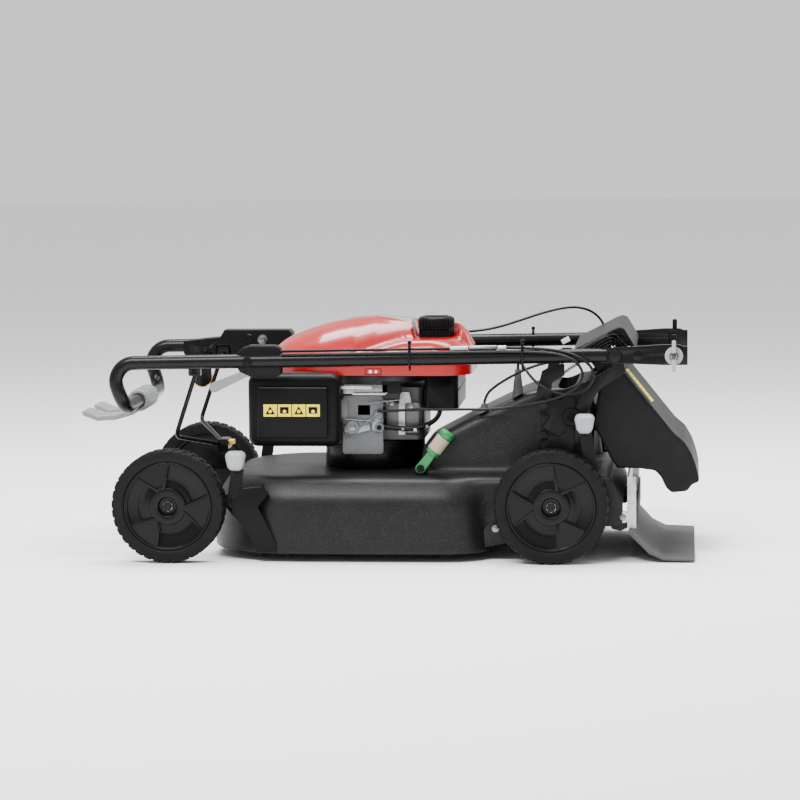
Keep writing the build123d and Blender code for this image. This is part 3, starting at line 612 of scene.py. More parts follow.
class MOWER_OT_wheels(bpy.types.Operator):
    """Tyres with alternating shoulder blocks, and rims with three wedge panels"""
    bl_idname = "mower.wheels"
    bl_label = "Wheels"

    def execute(self, context):
        settings = context.scene.mower
        tyre, rim = tyre_shape(settings), rim_shape(settings)
        for end, hand in CORNERS:
            low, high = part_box(f"tyre_{end}_{hand}")
            for shape, kind, material in ((tyre, "tyre", "tyre_rubber"), (rim, "rim", "gloss_black_plastic")):
                piece = copy_of(shape)
                turn = Matrix.Rotation(radians(-WEDGE_AT[end]), 4, "Y")
                if hand == "right":
                    turn = Matrix.Rotation(pi, 4, "Z") @ turn
                piece.data.transform(Matrix.Translation((low + high) / 2) @ turn)
                place(piece, f"{kind}_{end}_{hand}_skin", f"wheel_{end}_{hand}", material,
                      [f"{kind}_{end}_{hand}"])
        bpy.data.objects.remove(tyre)
        bpy.data.objects.remove(rim)
        return {"FINISHED"}


HUB_IN = 14             # from the front of a front arm to its axle
REAR_HUB_X = 303


class MOWER_OT_height_arms(bpy.types.Operator):
    """Height arms with their stub axle, hexagon bolt and grey tapered knob on its neck"""
    bl_idname = "mower.height_arms"
    bl_label = "Height arms"

    def execute(self, context):
        for end, hand in CORNERS:
            node, body = f"height_arm_{end}_{hand}", f"arm_{end}_{hand}"
            low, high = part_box(node)
            out = -1 if hand == "left" else 1
            knob_x, knob_z = (-260, 182) if end == "front" else (362, 249)
            arm = from_frame(node, 0.7)
            choose(arm, lambda c, n: abs(c.y) > 226.2 and c.z > 130)
            bpy.ops.mesh.delete(type="FACE")
            place(arm, node + "_skin", body, "painted_plate", [node])
            knob = box((knob_x, out * 243, knob_z), (35, 33, 34), 9, 5)

            def taper(x, y, z):
                share = 1 - 0.3 * min(1.0, max(0.0, (knob_z + 4 - z) / 21))
                return knob_x + (x - knob_x) * share, out * 243 + (y - out * 243) * share, z

            place(reshape(knob, taper), node + "_knob", body, "knob_polymer", smooth=60)
            collar = box((knob_x, out * 236, knob_z - 15), (17, 20, 12), 2.5, 3)
            place(collar, node + "_knob_neck", body, "painted_plate")
            hub_x = low.x / MM + HUB_IN if end == "front" else REAR_HUB_X
            place(bolt((hub_x, out * 256.6, 101.6), out, 6.2, 4.6), node + "_bolt", body, "zinc_plate")
        return {"FINISHED"}


# ---------------------------------------------------------------- engine

# Side outlines of the cover's bulge and shoulders, half the bulge's width, and the circles of the plan.
CROWN = [(-223, 352), (-212, 368), (-198, 379), (-183, 388), (-155, 399), (-127, 408), (-98, 415),
         (-68, 420), (-23, 424), (21, 421), (60, 416), (117, 411), (130, 406), (140, 396), (153, 372)]
SHOULDER = [(-223, 348), (-120, 352), (-61, 362), (-20, 374), (30, 386), (84, 388), (120, 388), (153, 376)]
BULGE_HALF = [(-223, 70), (-190, 104), (-120, 121), (-61, 112), (-20, 92), (35, 62), (60, 52), (153, 44)]
COVER_CIRCLES = [(-100, 0, 123), (95, 75, 58), (95, -75, 58)]
COVER_MIDDLE = (-30, 0)
CAP_AT = (84, -20)
SKIRT_Z, RIM_Z = 324, 340         # lower edge of the cover's skirt, and where its top begins


def cover_reach(angle):
    """Distance from the cover's middle to its plan outline: three circles with a cord round them."""
    ahead, reach = Vector((cos(angle), sin(angle))), 1000.0
    for i in range(180):
        facing = Vector((cos(i * pi / 90), sin(i * pi / 90)))
        if ahead.dot(facing) > 0.05:
            out = max((x - COVER_MIDDLE[0]) * facing.x + y * facing.y + r for x, y, r in COVER_CIRCLES)
            reach = min(reach, out / ahead.dot(facing))
    return reach


def cover_height(x, y, edge):
    """Height of the cover's top: a bulge along the middle over lower shoulders, with a dish for the cap."""
    roll = sqrt(max(0.0, 1 - max(0.0, (edge - 0.8) / 0.2) ** 2))
    shoulder = RIM_Z + (at(SHOULDER, x) - RIM_Z) * roll
    side = min(1.0, abs(y) / at(BULGE_HALF, x))
    bulge = RIM_Z + (at(CROWN, x) - RIM_Z) * (1 - side ** 2.3) ** 0.62
    bulge += 1.3 * max(0.0, 1 - (abs(y) / 34) ** 8)
    apart = max(0.0, 6 - abs(bulge - shoulder)) / 6
    height = max(bulge, shoulder) + apart * apart * 1.5
    from_cap = sqrt((x - CAP_AT[0]) ** 2 + (min(0.0, y - CAP_AT[1]) * 0.25 + max(0.0, y - CAP_AT[1])) ** 2)
    dish = min(1.0, max(0.0, (from_cap - 38) / 7))
    dish = dish * dish * (3 - 2 * dish)
    return min(height, at(SHOULDER, x)) * (1 - dish) * roll + height * (1 - (1 - dish) * roll)


def cover_skin():
    """The cover's top and skirt as rings of points round its middle."""
    turns, rings = 192, 64
    spots, faces = [(COVER_MIDDLE[0], 0, cover_height(COVER_MIDDLE[0], 0, 0))], []
    angles = [i * 2 * pi / turns for i in range(turns)]
    reaches = [cover_reach(angle) for angle in angles]
    for j in range(1, rings + 6):
        edge = sin(min(1.0, j / rings) * pi / 2)
        for angle, reach in zip(angles, reaches):
            x, y = COVER_MIDDLE[0] + reach * edge * cos(angle), reach * edge * sin(angle)
            height = cover_height(x, y, edge)
            if j > rings:
                height = RIM_Z - (RIM_Z - SKIRT_Z) * (j - rings) / 5
            spots.append((x, y, height))
    faces += [(0, 1 + i, 1 + (i + 1) % turns) for i in range(turns)]
    for j in range(rings + 4):
        for i in range(turns):
            a, b = 1 + j * turns + i, 1 + j * turns + (i + 1) % turns
            faces.append((a, a + turns, b + turns, b))
    return skin(spots, faces, "cover")


def cover_side(x):
    """Half the cover's width on the straight run between the front circle and a rear one."""
    return 124.1 + (x + 80) * 0.0575


COVER_SIDE_TURN = -3.3          # turn of that straight run, degrees
TAG_Z = 331.5                   # height of the tag on that run
GROOVE_DEEP = 1.2               # depth of the grooves between the ribs of the fuel cap


class MOWER_OT_engine_cover(bpy.types.Operator):
    """Glossy red top cover with its dish for the fuel cap, grey stripes and a small plain label"""
    bl_idname = "mower.engine_cover"
    bl_label = "Engine cover"

    def execute(self, context):
        cover = cover_skin()
        tidy_mesh(cover)
        apply_modifier(cover, "SOLIDIFY", thickness=2.4 * MM, offset=-1)
        hole = rod((*CAP_AT, 340), (*CAP_AT, 440), 33, 64)
        apply_modifier(cover, "BOOLEAN", operation="DIFFERENCE", object=hole, solver="EXACT")
        bpy.data.objects.remove(hole)
        place(cover, "engine_cover_skin", "deck", "red_abs", ["engine_cover"], "red_cover", smooth=50)
        for word, side in HANDS:
            def stripe(u, v, side=side):
                x = -78 + 122 * u
                y = side * (7 + 22 * u * v)
                return x, y, cover_height(x, y, 0) + 0.25
            place(patch(stripe, 60, 12, thick_mm=0.3), f"cover_stripe_{word}", "deck", "stripe_grey")
        for name, material, x, width, tall, proud in (
                ("frame", "black_plastic", -23, 30, 11.5, 1.2), ("field", "red_abs", -23, 27.6, 9.4, 1.5)):
            tag = box((0, 0, 0), (width, 0.8, tall), 0.2, 1, (0, 0, COVER_SIDE_TURN))
            tag.location = Vector((x, -cover_side(x) - proud, TAG_Z)) * MM
            place(settle(tag), f"cover_tag_{name}", "deck", material)
        for number, (x, sides) in enumerate(((-18, 4), (-28, 24))):
            face = -cover_side(x)
            dot = rod((x, face - 1, TAG_Z), (x, face - 2.4, TAG_Z), 3.2, sides, 0.2)
            place(dot, f"cover_tag_mark_{number}", "deck", "white_polymer")
        place(box((-100, -121.2, 326), (26, 5, 5), 1), "cover_catch", "deck", "black_plastic")
        return {"FINISHED"}


def cap_shape(settings):
    """Ribbed fuel cap: a low skirt, a wider ribbed band above it and a shallow dished top."""
    outline = [(31, 385), (32, 386.5), (32, 401), (31, 402.5), (32.4, 404), (33, 405), (33.4, 407),
               (33.4, 418), (32.6, 421), (30, 423.4), (27, 424.6), (22, 425), (20, 423.6), (0.4, 423.6),
               (0.4, 385)]
    steps = settings.cap_ribs * 6
    cap = ring(outline, (*CAP_AT, 0), "Z", steps)

    def groove(centre, normal):
        turned = polar(centre.x - CAP_AT[0], centre.y - CAP_AT[1])[1]
        ribbed = 405.5 < centre.z < 420.5 or 387 < centre.z < 400
        upright = Vector((normal.x, normal.y)).length > 0.8
        return ribbed and upright and int(turned / 360 * steps) % 6 in (0, 1)

    choose(cap, groove)
    swell(-GROOVE_DEEP)
    return soften(cap, 0.35, 1, 40)


class MOWER_OT_fuel_cap(bpy.types.Operator):
    """Black ribbed fuel cap with a bar grip moulded on top"""
    bl_idname = "mower.fuel_cap"
    bl_label = "Fuel cap"

    def execute(self, context):
        x, y = CAP_AT
        place(cap_shape(context.scene.mower), "fuel_cap_skin", "fuel_cap", "black_plastic", ["fuel_cap"],
              smooth=45)
        place(box((x, y, 424.6), (44, 9, 3.6), 1.6, 3), "fuel_cap_bar", "fuel_cap", "black_plastic")
        place(ring([(33.4, 402.6), (34.4, 403.2), (34.4, 405.2), (33.4, 405.8), (31, 405.8), (31, 402.6)],
                   (x, y, 0), "Z", 96), "fuel_cap_lip", "fuel_cap", "gloss_black_plastic")
        return {"FINISHED"}


class MOWER_OT_air_cleaner(bpy.types.Operator):
    """Rounded black air cleaner cover with a raised panel, plain label and the plate behind it"""
    bl_idname = "mower.air_cleaner"
    bl_label = "Air cleaner"

    def execute(self, context):
        low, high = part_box("air_cleaner_cover")
        middle = (low + high) / 2 / MM
        size = (high.x / MM - low.x / MM, 48, high.z / MM - low.z / MM)
        cover = box((middle.x, middle.y + 4, middle.z), size, 17, 6)
        place(cover, "air_cleaner_cover_skin", "deck", "black_plastic", ["air_cleaner_cover"],
              "black_plastic", smooth=50)
        panel = box((middle.x - 0.5, -172.6, 261), (127, 8, 92), 3.6, 4)
        place(panel, "air_cleaner_panel", "deck", "black_plastic", smooth=50)
        rim = box((middle.x, -120, middle.z), (168, 5, 133), 2.2, 3)
        place(rim, "air_cleaner_rim", "deck", "gloss_black_plastic")
        place(from_frame("air_cleaner_base", 1.0), "air_cleaner_base_skin", "deck", "black_plastic",
              ["air_cleaner_base"])
        rounded("air_filter", "filter_paper", 0.4)
        left, top, wide, tall = -219, 278, 105, 25
        place(box((left + wide / 2, -176.75, top - tall / 2), (wide, 0.5, tall), 0.2, 1), "air_label_border",
              "deck", "gloss_black_plastic")
        for i in range(4):
            x = left + 1.6 + i * (wide - 1.4) / 4
            cell = box((x + 12.3, -177, top - tall / 2), (24.2, 0.5, tall - 3), 0.2, 1)
            place(cell, f"air_label_cell_{i}", "deck", "label_yellow")
            triangle = [(x + 3.5, top - 19.5), (x + 21, top - 19.5), (x + 12.25, top - 4.5)]
            square = [(x + 4, top - 18), (x + 20, top - 18), (x + 20, top - 6), (x + 4, top - 6)]
            sign = plate(square if i % 2 else triangle, -177.7, 0.5, 0.1)
            place(sign, f"air_label_sign_{i}", "deck", "gloss_black_plastic")
            mark = rod((x + 12.3, -177.6, top - 14), (x + 12.3, -178.1, top - 14), 3.1, 20, 0.1)
            place(mark, f"air_label_mark_{i}", "deck", "label_yellow")
        guard = patch(lambda u, v: (-249 + 9 * u * u, -116 - 44 * u, 214 + 66 * v), 8, 12, thick_mm=1.2)
        place(guard, "air_cleaner_guard", "deck", "galvanised")
        for i, z in enumerate((222, 236, 250, 264)):
            place(box((-246, -132, z), (5, 26, 3), 1), f"air_cleaner_guard_rib_{i}", "deck", "zinc_plate")
        for i, (x, z) in enumerate(((-232, 322), (-96, 322), (-232, 204), (-96, 204))):
            clip = box((x, -117, z), (14, 12, 7), 2)
            place(clip, f"air_cleaner_clip_{i}", "deck", "gloss_black_plastic")
        return {"FINISHED"}


class MOWER_OT_engine(bpy.types.Operator):
    """Engine castings, fuel system, ignition and the parts seen between deck and cover"""
    bl_idname = "mower.engine"
    bl_label = "Engine"

    def execute(self, context):
        for node, material, width in (
                ("engine_base", "powder_coat", 2.5), ("engine_block", "cast_metal", 3.0),
                ("cylinder_head", "cast_metal", 0.6), ("spark_plug", "white_polymer", 0.8),
                ("muffler", "galvanised", 4.0), ("carburettor", "cast_metal", 1.5),
                ("flywheel", "cast_metal", 1.0), ("crankshaft", "machined_steel", 0.5),
                ("throttle_lever", "zinc_plate", 0.5)):
            rounded(node, material, width)
        tank = from_frame("fuel_tank", 9, 4)
        place(tank, "fuel_tank_skin", "deck", "black_plastic", ["fuel_tank"], smooth=50)
        place(box((98, 0, 296), (64, 214, 3), 1.2), "fuel_tank_seam", "deck", "black_plastic")
        linkage = (
            ("zinc_plate", box((-44, -133, 300), (94, 2, 17), 0.8)),
            ("galvanised", box((-60, -136, 303), (70, 5, 5), 1.2)),
            ("galvanised", box((-30, -139, 292), (60, 4, 4), 1.2)),
            ("black_plastic", box((10, -128, 303), (36, 12, 22), 2)),
            ("zinc_plate", plate([(-78, 236), (-50, 244), (-30, 240), (-28, 226), (-52, 220), (-78, 222)],
                                 -136, 2)),
            ("cast_metal", rod((-60, -128, 231), (-60, -141, 231), 12.5, 40, 2)),
            ("zinc_plate", rod((-60, -141, 231), (-60, -144, 231), 6, 6, 0.6)),
            ("cast_metal", rod((-12, -128, 231), (-12, -139, 231), 9, 40, 1.5)),
            ("black_plastic", rod((-12, -139, 231), (-12, -142, 231), 4.5, 24, 0.6)),
            ("cast_metal", box((-82, -120, 262), (30, 26, 42), 5, 4)),
            ("cast_metal", box((-40, -119, 262), (34, 24, 30), 6, 4)),
            ("black_plastic", box((-88, -124, 297), (22, 22, 24), 3, 3)),
            ("zinc_plate", rod((-88, -135, 298), (-88, -138.5, 298), 6.5, 24, 1)),
            ("cast_metal", rod((-14, -118, 254), (-14, -136, 254), 8, 32, 1.5)),
            ("zinc_plate", rod((-30, -137, 275), (26, -137, 281), 1.3, 12, 0.2)),
            ("zinc_plate", rod((-70, -139, 212), (-8, -139, 262), 1.2, 12, 0.2)),
            ("zinc_plate", rod((-84, -139, 246), (-20, -139, 243), 1.0, 12, 0.2)),
            ("galvanised", plate([(20, 214), (32, 214), (46, 264), (40, 292), (24, 292), (20, 262)],
                                 -104, 2)),
            ("cast_metal", box((46, -96, 244), (30, 22, 60), 6, 4)),
            ("cast_metal", box((10, -94, 250), (30, 18, 50), 5, 4)),
            ("zinc_plate", rod((44, -107, 268), (44, -113, 268), 5.5, 6, 0.6)),
            ("zinc_plate", rod((8, -103, 272), (8, -108, 272), 5, 6, 0.6)),
            ("black_plastic", box((-110, -104, 214), (28, 18, 22), 3, 3)),
            ("zinc_plate", box((-122, -110, 205), (44, 3, 12), 1)),
        )
        for number, (material, piece) in enumerate(linkage):
            place(piece, f"engine_detail_{number:02d}", "deck", material, smooth=40)
        for i in range(7):
            fin = box((-2, -92, 222 + i * 9), (92, 9, 2.4), 0.8)
            place(fin, f"engine_fin_{i}", "deck", "cast_metal")
        for i, (x, y) in enumerate(((-78, -78), (14, -78), (-78, 78), (14, 78))):
            foot = rod((x, y, 203), (x, y, 211), 8, 6, 0.6)
            place(foot, f"engine_foot_bolt_{i}", "deck", "zinc_plate")
        for i, x in enumerate((30, 52, 74)):
            z = 226.5 + max(0, x - 66) * 0.5
            band = rod((x - 2.5, -122.8, z), (x + 2.5, -122.8, z + 0.4), 5.0, 24, 0.4)
            place(band, f"fuel_hose_mark_{i}", "deck", "white_polymer" if i % 2 else "zinc_plate")
        place(rod((-186, 0, 256), (-232, 0, 256), 11, 32, 3), "spark_plug_cap", "deck", "black_plastic")
        lead = tube([(-228, 2, 256), (-236, 16, 270), (-215, 40, 300), (-170, 60, 318), (-120, 70, 318)],
                    3.4, "lead")
        place(lead, "spark_plug_lead", "deck", "cable_sheath")
        for i in range(9):
            slot = box((-110, 165.4, 222 + i * 7), (90, 2, 3), 0.6)
            place(slot, f"muffler_slot_{i}", "deck", "powder_coat")
        return {"FINISHED"}


# ---------------------------------------------------------------- deck

def melt_share(x, y, z):
    """How far a point of the deck is rounded off: fully on the shoulders, not at the lip or the rear edge."""
    up = min(1.0, max(0.0, (z - 34) / 40))
    ahead = min(1.0, max(0.0, (350 - x) / 40))
    beside = min(1.0, max(0.0, (200 - abs(y)) / 30)) if x > 275 else 1.0
    return up * ahead * beside


class MOWER_OT_deck(bpy.types.Operator):
    """Deck shell with its soft moulded edges, its fixings, and what turns or sits under it"""
    bl_idname = "mower.deck"
    bl_label = "Deck"

    def execute(self, context):
        deck = from_frame("deck_shell", 0)
        apply_modifier(deck, "REMESH", mode="VOXEL", voxel_size=2.8 * MM, adaptivity=0)
        melt = deck.vertex_groups.new(name="melt")
        for step in range(1, 11):
            melt.add([v.index for v in deck.data.vertices if round(melt_share(*(v.co / MM)) * 10) == step],
                     step / 10, "REPLACE")
        apply_modifier(deck, "SMOOTH", factor=0.5, iterations=14)
        apply_modifier(deck, "SMOOTH", factor=0.7, iterations=170, vertex_group="melt")
        apply_modifier(deck, "DECIMATE", ratio=0.3)
        place(deck, "deck_skin", "deck", "deck_polymer", ["deck_shell"], "deck_polymer", smooth=60)
        for hand, side in HANDS:
            place(bolt((202, side * 214, 58), side, 4.6, 2.6), f"deck_bolt_{hand}", "deck", "zinc_plate")
            gusset = plate([(150, 16), (236, 34), (236, 74), (186, 80), (150, 80)], side * 205 - 2, 4, 1)
            place(gusset, f"deck_gusset_{hand}", "deck", "deck_polymer")
        for node, material, width in (
                ("mulch_bearing", "black_plastic", 0.8), ("mulch_door", "black_plastic", 1.0),
                ("gearbox", "cast_metal", 2.0), ("gearbox_pulley", "powder_coat", 0.8),
                ("crank_pulley", "machined_steel", 0.6), ("drive_belt", "shield_rubber", 0.6),
                ("blades", "powder_coat", 0.8)):
            rounded(node, material, width)
        rounded("wheel_brackets", "black_plastic", 2.5, 3)
        return {"FINISHED"}


class MOWER_OT_mulch_lever(bpy.types.Operator):
    """Green fork with a beige grip and a domed green end"""
    bl_idname = "mower.mulch_lever"
    bl_label = "Mulch lever"

    def execute(self, context):
        root, along = Vector((90, -182, 193.5)), Vector((0.62, 0, 0.785)).normalized()
        lever = from_frame("mulch_lever", 1.2)
        choose(lever, lambda c, n: (c - root).dot(along) > 0.5 and c.z > 190)
        bpy.ops.mesh.delete(type="FACE")
        place(lever, "mulch_lever_skin", "mulch_lever", "green_polymer", ["mulch_lever"], "green_lever")
        place(rod(root + along, root + along * 30, 13.3, 48, 0.8), "mulch_grip", "mulch_lever",
              "beige_polymer")
        place(rod(root + along * 29.6, root + along * 43.5, 13.5, 48, 3.5), "mulch_grip_end", "mulch_lever",
              "green_polymer", smooth=50)
        place(rod(root - along * 7, root + along * 2, 12.4, 48, 2), "mulch_grip_root", "mulch_lever",
              "green_polymer")
        return {"FINISHED"}


class MOWER_OT_rear(bpy.types.Operator):
    """Rear plate, hood, discharge guard, trail shield and what is fixed to them"""
    bl_idname = "mower.rear"
    bl_label = "Rear"

    def execute(self, context):
        rounded("rear_plate", "galvanised", 0.6)
        moulded("rear_hood", "black_plastic", 2.0, 8, 0.6)
        moulded("discharge_guard", "dusty_plastic", 2.2, 24, 0.45)
        rounded("trail_shield", "shield_rubber", 0.8)
        label = patch(lambda u, v: (433 + 46 * u + 3.4 * v, -150 + 24 * v, 336.6 - 57.5 * u), 20, 6,
                      thick_mm=0.4)
        place(label, "guard_label", "discharge_guard", "label_yellow")
        for i in range(7):
            x, z = 438 + i * 5.6, 330 - i * 7
            line = box((x + 1.6, -139, z + 1.1), (1.2, 18, 1.0), 0.2, 1, (0, 51, 0))
            place(line, f"guard_label_line_{i}", "discharge_guard", "black_plastic")
        for hand, side in HANDS:
            hub = (429, side * 203, 78)
            wheel = ring([(9.5, -4), (10.5, -2.5), (10.5, 2.5), (9.5, 4), (3, 4), (3, -4)], hub, "Y", 48)
            place(wheel, f"rear_roller_{hand}", "deck", "white_polymer")
            band = ring([(10.4, -1.6), (11.2, -1.2), (11.2, 1.2), (10.4, 1.6)], hub, "Y", 48)
            place(band, f"rear_roller_band_{hand}", "deck", "blue_polymer")
            place(bolt((429, side * 207, 78), side, 4, 2.4), f"rear_roller_bolt_{hand}", "deck", "zinc_plate")
            arm = plate([(404, 70), (412, 84), (440, 88), (447, 74), (440, 60), (424, 52), (408, 56)],
                        side * 197 - 1.5, 3, 0.6)
            place(arm, f"rear_arm_{hand}", "deck", "powder_coat")
        for i in range(8):
            tooth = box((452.6, 0, 64 + i * 5.4), (4.4, 392, 3.2), 0.9)
            place(tooth, f"rear_strip_{i}", "deck", "shield_rubber")
        return {"FINISHED"}


class MOWER_OT_brackets(bpy.types.Operator):
    """Handle brackets with their hook slots, stays, bolts, springs and the label tab"""
    bl_idname = "mower.brackets"
    bl_label = "Brackets"

    def execute(self, context):
        rounded("handle_brackets", "painted_plate", 1.0)
        rounded("handle_stays", "powder_coat", 3.0, 4)
        rounded("pivot_bolts", "painted_plate", 0.6)
        rounded("cable_boots", "shield_rubber", 0.8)
        for hand, side in HANDS:
            hook = tube([(281, side * 194, 262), (292, side * 194, 262), (298, side * 194, 254),
                         (290, side * 194, 246), (283, side * 194, 238), (292, side * 194, 230),
                         (312, side * 194, 222), (326, side * 194, 232), (329, side * 194, 246),
                         (322, side * 194, 254)], 1.5, "hook")
            place(hook, f"bracket_hook_{hand}", "deck", "gloss_black_plastic")
            for i, z in enumerate((279, 222)):
                place(bolt((287, side * 193.5, z), side, 6.2, 4.4), f"bracket_bolt_{hand}_{i}", "deck",
                      "gloss_black_plastic")
            boss = ring([(15, -3), (16, -1), (16, 3), (14, 4.5), (9, 4.5), (7.5, 3), (7.5, -3)],
                        (337, side * 196, 256), "Y", 64)
            place(boss, f"bracket_boss_{hand}", "deck", "black_plastic")
            for i in range(5):
                wire = tube([(356 + i * 6, side * 176.4, 366 - i), (372 + i * 5, side * 176.4, 382 - i * 3),
                             (406, side * 176.4, 403 - i * 6), (420 - i * 3, side * 176.4, 400 - i * 6),
                             (436 - i * 5, side * 176.4, 378 - i * 2)], 1.2, "wire")
                place(wire, f"hood_line_{hand}_{i}", "deck", "gloss_black_plastic")
            rail = tube([(300, side * 184, 316), (322, side * 184, 334), (352, side * 184, 352)], 2.4, "rail")
            place(rail, f"bracket_spring_{hand}", "deck", "zinc_plate")
            for i in range(9):
                turn = ring([(2.2, -0.8), (3.6, -0.8), (3.6, 0.8), (2.2, 0.8)],
                            (306 + i * 4.2, side * 184, 321 + i * 3.4), "X", 16)
                place(turn, f"bracket_spring_turn_{hand}_{i}", "deck", "zinc_plate")
        place(box((327, -186, 392), (15, 2, 9), 0.6, 2, (0, -28, 0)), "bracket_tab", "deck", "label_film")
        return {"FINISHED"}


# ---------------------------------------------------------------- handle

class MOWER_OT_handle(bpy.types.Operator):
    """Folded tube handle with its end plates, wing nuts, ties and cable sleeve"""
    bl_idname = "mower.handle"
    bl_label = "Handle"

    def execute(self, context):
        rounded("upper_handle", "powder_coat", 0.8, smooth=45)
        for hand, side in HANDS:
            body = f"wing_nut_{hand}"
            shape = from_frame(body, 1.6, 3)
            place(shape, f"{body}_skin", body, "knob_polymer", [body], smooth=45)
            end = bolt((519, side * 222, 366), side, 4.6, 1.0, 24)
            place(end, f"{body}_end", body, "zinc_plate")
            collar = ring([(4.6, -1), (8, -1), (8, 1), (4.6, 1)], (519, side * 221.6, 366), "Y", 40)
            place(collar, f"{body}_collar", body, "gloss_black_plastic")
            for i, (x, z) in enumerate(((415, 366), (455, 366))):
                place(bolt((x, side * 206.6, z), side, 6, 3.4), f"handle_bolt_{hand}_{i}", "handle",
                      "gloss_black_plastic")
            tail = box((525, side * 200, 366), (36.6, 14, 33), 1.2, 2)
            bore = rod((519, side * 200 - 20, 366), (519, side * 200 + 20, 366), 5.4, 32, 0.1)
            apply_modifier(tail, "BOOLEAN", operation="DIFFERENCE", object=bore, solver="EXACT")
            bpy.data.objects.remove(bore)
            place(tail, f"handle_tail_{hand}", "handle", "powder_coat")
            stop = box((519, side * 200, 394), (9, 9, 18), 2)
            place(stop, f"handle_stop_{hand}", "handle", "black_plastic")
            tie_height, tie_width = (40, 17.5) if hand == "left" else (34, 28)
            for i, (x, z) in enumerate(((50, 362), (251, 364))):
                middle = z + (tie_height - 28) / 2
                tie = box((x, side * 206.5, middle), (4.6, tie_width, tie_height), 2)
                place(tie, f"handle_tie_{hand}_{i}", "handle", "gloss_black_plastic")
                place(box((x, side * 206, middle + tie_height / 2 + 2), (7, 7, 6), 1.4),
                      f"handle_tie_head_{hand}_{i}", "handle", "gloss_black_plastic")
                place(box((x, side * 205, middle - tie_height / 2 - 4), (4, 2, 9), 0.6),
                      f"handle_tie_tail_{hand}_{i}", "handle", "gloss_black_plastic")
        for letter, start, end, radius, material in (
                ("a", (122, -200.6, 378.6), (154, -201, 379.6), 4.2, "label_film"),
                ("b", (156, -201, 379.7), (205, -201, 380.4), 4.6, "zinc_plate"),
                ("c", (207, -201, 380.4), (222, -201.6, 380.3), 3.9, "label_film")):
            place(rod(start, end, radius, 24, 0.8), f"cable_sleeve_{letter}", "handle", material)
        return {"FINISHED"}


def moulded(node, material, voxel_mm, rounds, keep=1.0, smooth=60):
    """A CAD node's shape with every edge melted soft, as a thick moulding has."""
    obj = from_frame(node, 0)
    apply_modifier(obj, "REMESH", mode="VOXEL", voxel_size=voxel_mm * MM, adaptivity=0)
    apply_modifier(obj, "SMOOTH", factor=0.5, iterations=rounds)
    if keep < 1:
        apply_modifier(obj, "DECIMATE", ratio=keep)
    return place(obj, node + "_skin", NODES[node]["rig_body"], material, [node], smooth=smooth)


class MOWER_OT_controls(bpy.types.Operator):
    """Housings, levers, bail with its button, and the long pale drive paddles"""
    bl_idname = "mower.controls"
    bl_label = "Controls"

    def execute(self, context):
        moulded("drive_paddles", "pale_polymer", 1.5, 6, 0.5)
        for i in range(24):
            angle = i * pi / 12
            rib = box((-466 + 19.9 * cos(angle), 0, 272 + 19.9 * sin(angle)), (1.8, 108, 2.0), 0.7, 2,
                      (0, -angle * 180 / pi, 0))
            place(rib, f"drive_drum_rib_{i:02d}", "drive_paddles", "pale_polymer")
        housing = plate([(-262, 348), (-254, 334), (-242, 329), (-188, 329), (-181, 334), (-180, 372),
                         (-183, 381), (-192, 385), (-238, 385.5), (-252, 380), (-262, 368)], -206, 28, 3)
        place(housing, "control_housing_skin", "handle", "black_plastic", ["control_housing"], smooth=50)
        rounded("control_box", "black_plastic", 6, 4, smooth=50)
        rounded("lift_lever", "pale_polymer", 2.5, 4, smooth=50)
        rounded("speed_lever", "gloss_black_plastic", 0.8)
        rounded("bail", "powder_coat", 0.5)
        rounded("bail_button", "yellow_abs", 1.2, 3)
        arc = ring([(18.2, -2.2), (20, -1.8), (20, 1.8), (18.2, 2.2)], (-380, 172.5, 296), "Y", 72)
        place(arc, "speed_lever_edge", "speed_lever", "yellow_abs")
        screw = bolt((-241, -212, 356), -1, 6.4, 2.6, 32)
        place(screw, "housing_screw", "handle", "black_plastic")
        place(rod((-241, -214, 356), (-241, -215.2, 356), 3.2, 6, 0.2), "housing_screw_socket", "handle",
              "gloss_black_plastic")
        for hand_y, word in ((177.6, "inner"), (222.4, "outer")):
            side = -1 if hand_y < 200 else 1
            place(bolt((-264, hand_y, 367), side, 6.5, 3, 24), f"box_screw_{word}", "handle", "zinc_plate")
            eye = ring([(5, -1.2), (9, -1.2), (10, 0), (9, 1.2), (5, 1.2)], (-292, hand_y, 368), "Y", 40)
            place(eye, f"box_eye_{word}", "handle", "gloss_black_plastic")
            slot = box((-342, hand_y, 359), (22, 1.6, 6), 0.7)
            place(slot, f"box_slot_{word}", "handle", "gloss_black_plastic")
        place(box((-312, 196, 334), (30, 30, 14), 3), "box_clamp_low", "handle", "black_plastic")
        return {"FINISHED"}


# ---------------------------------------------------------------- cables

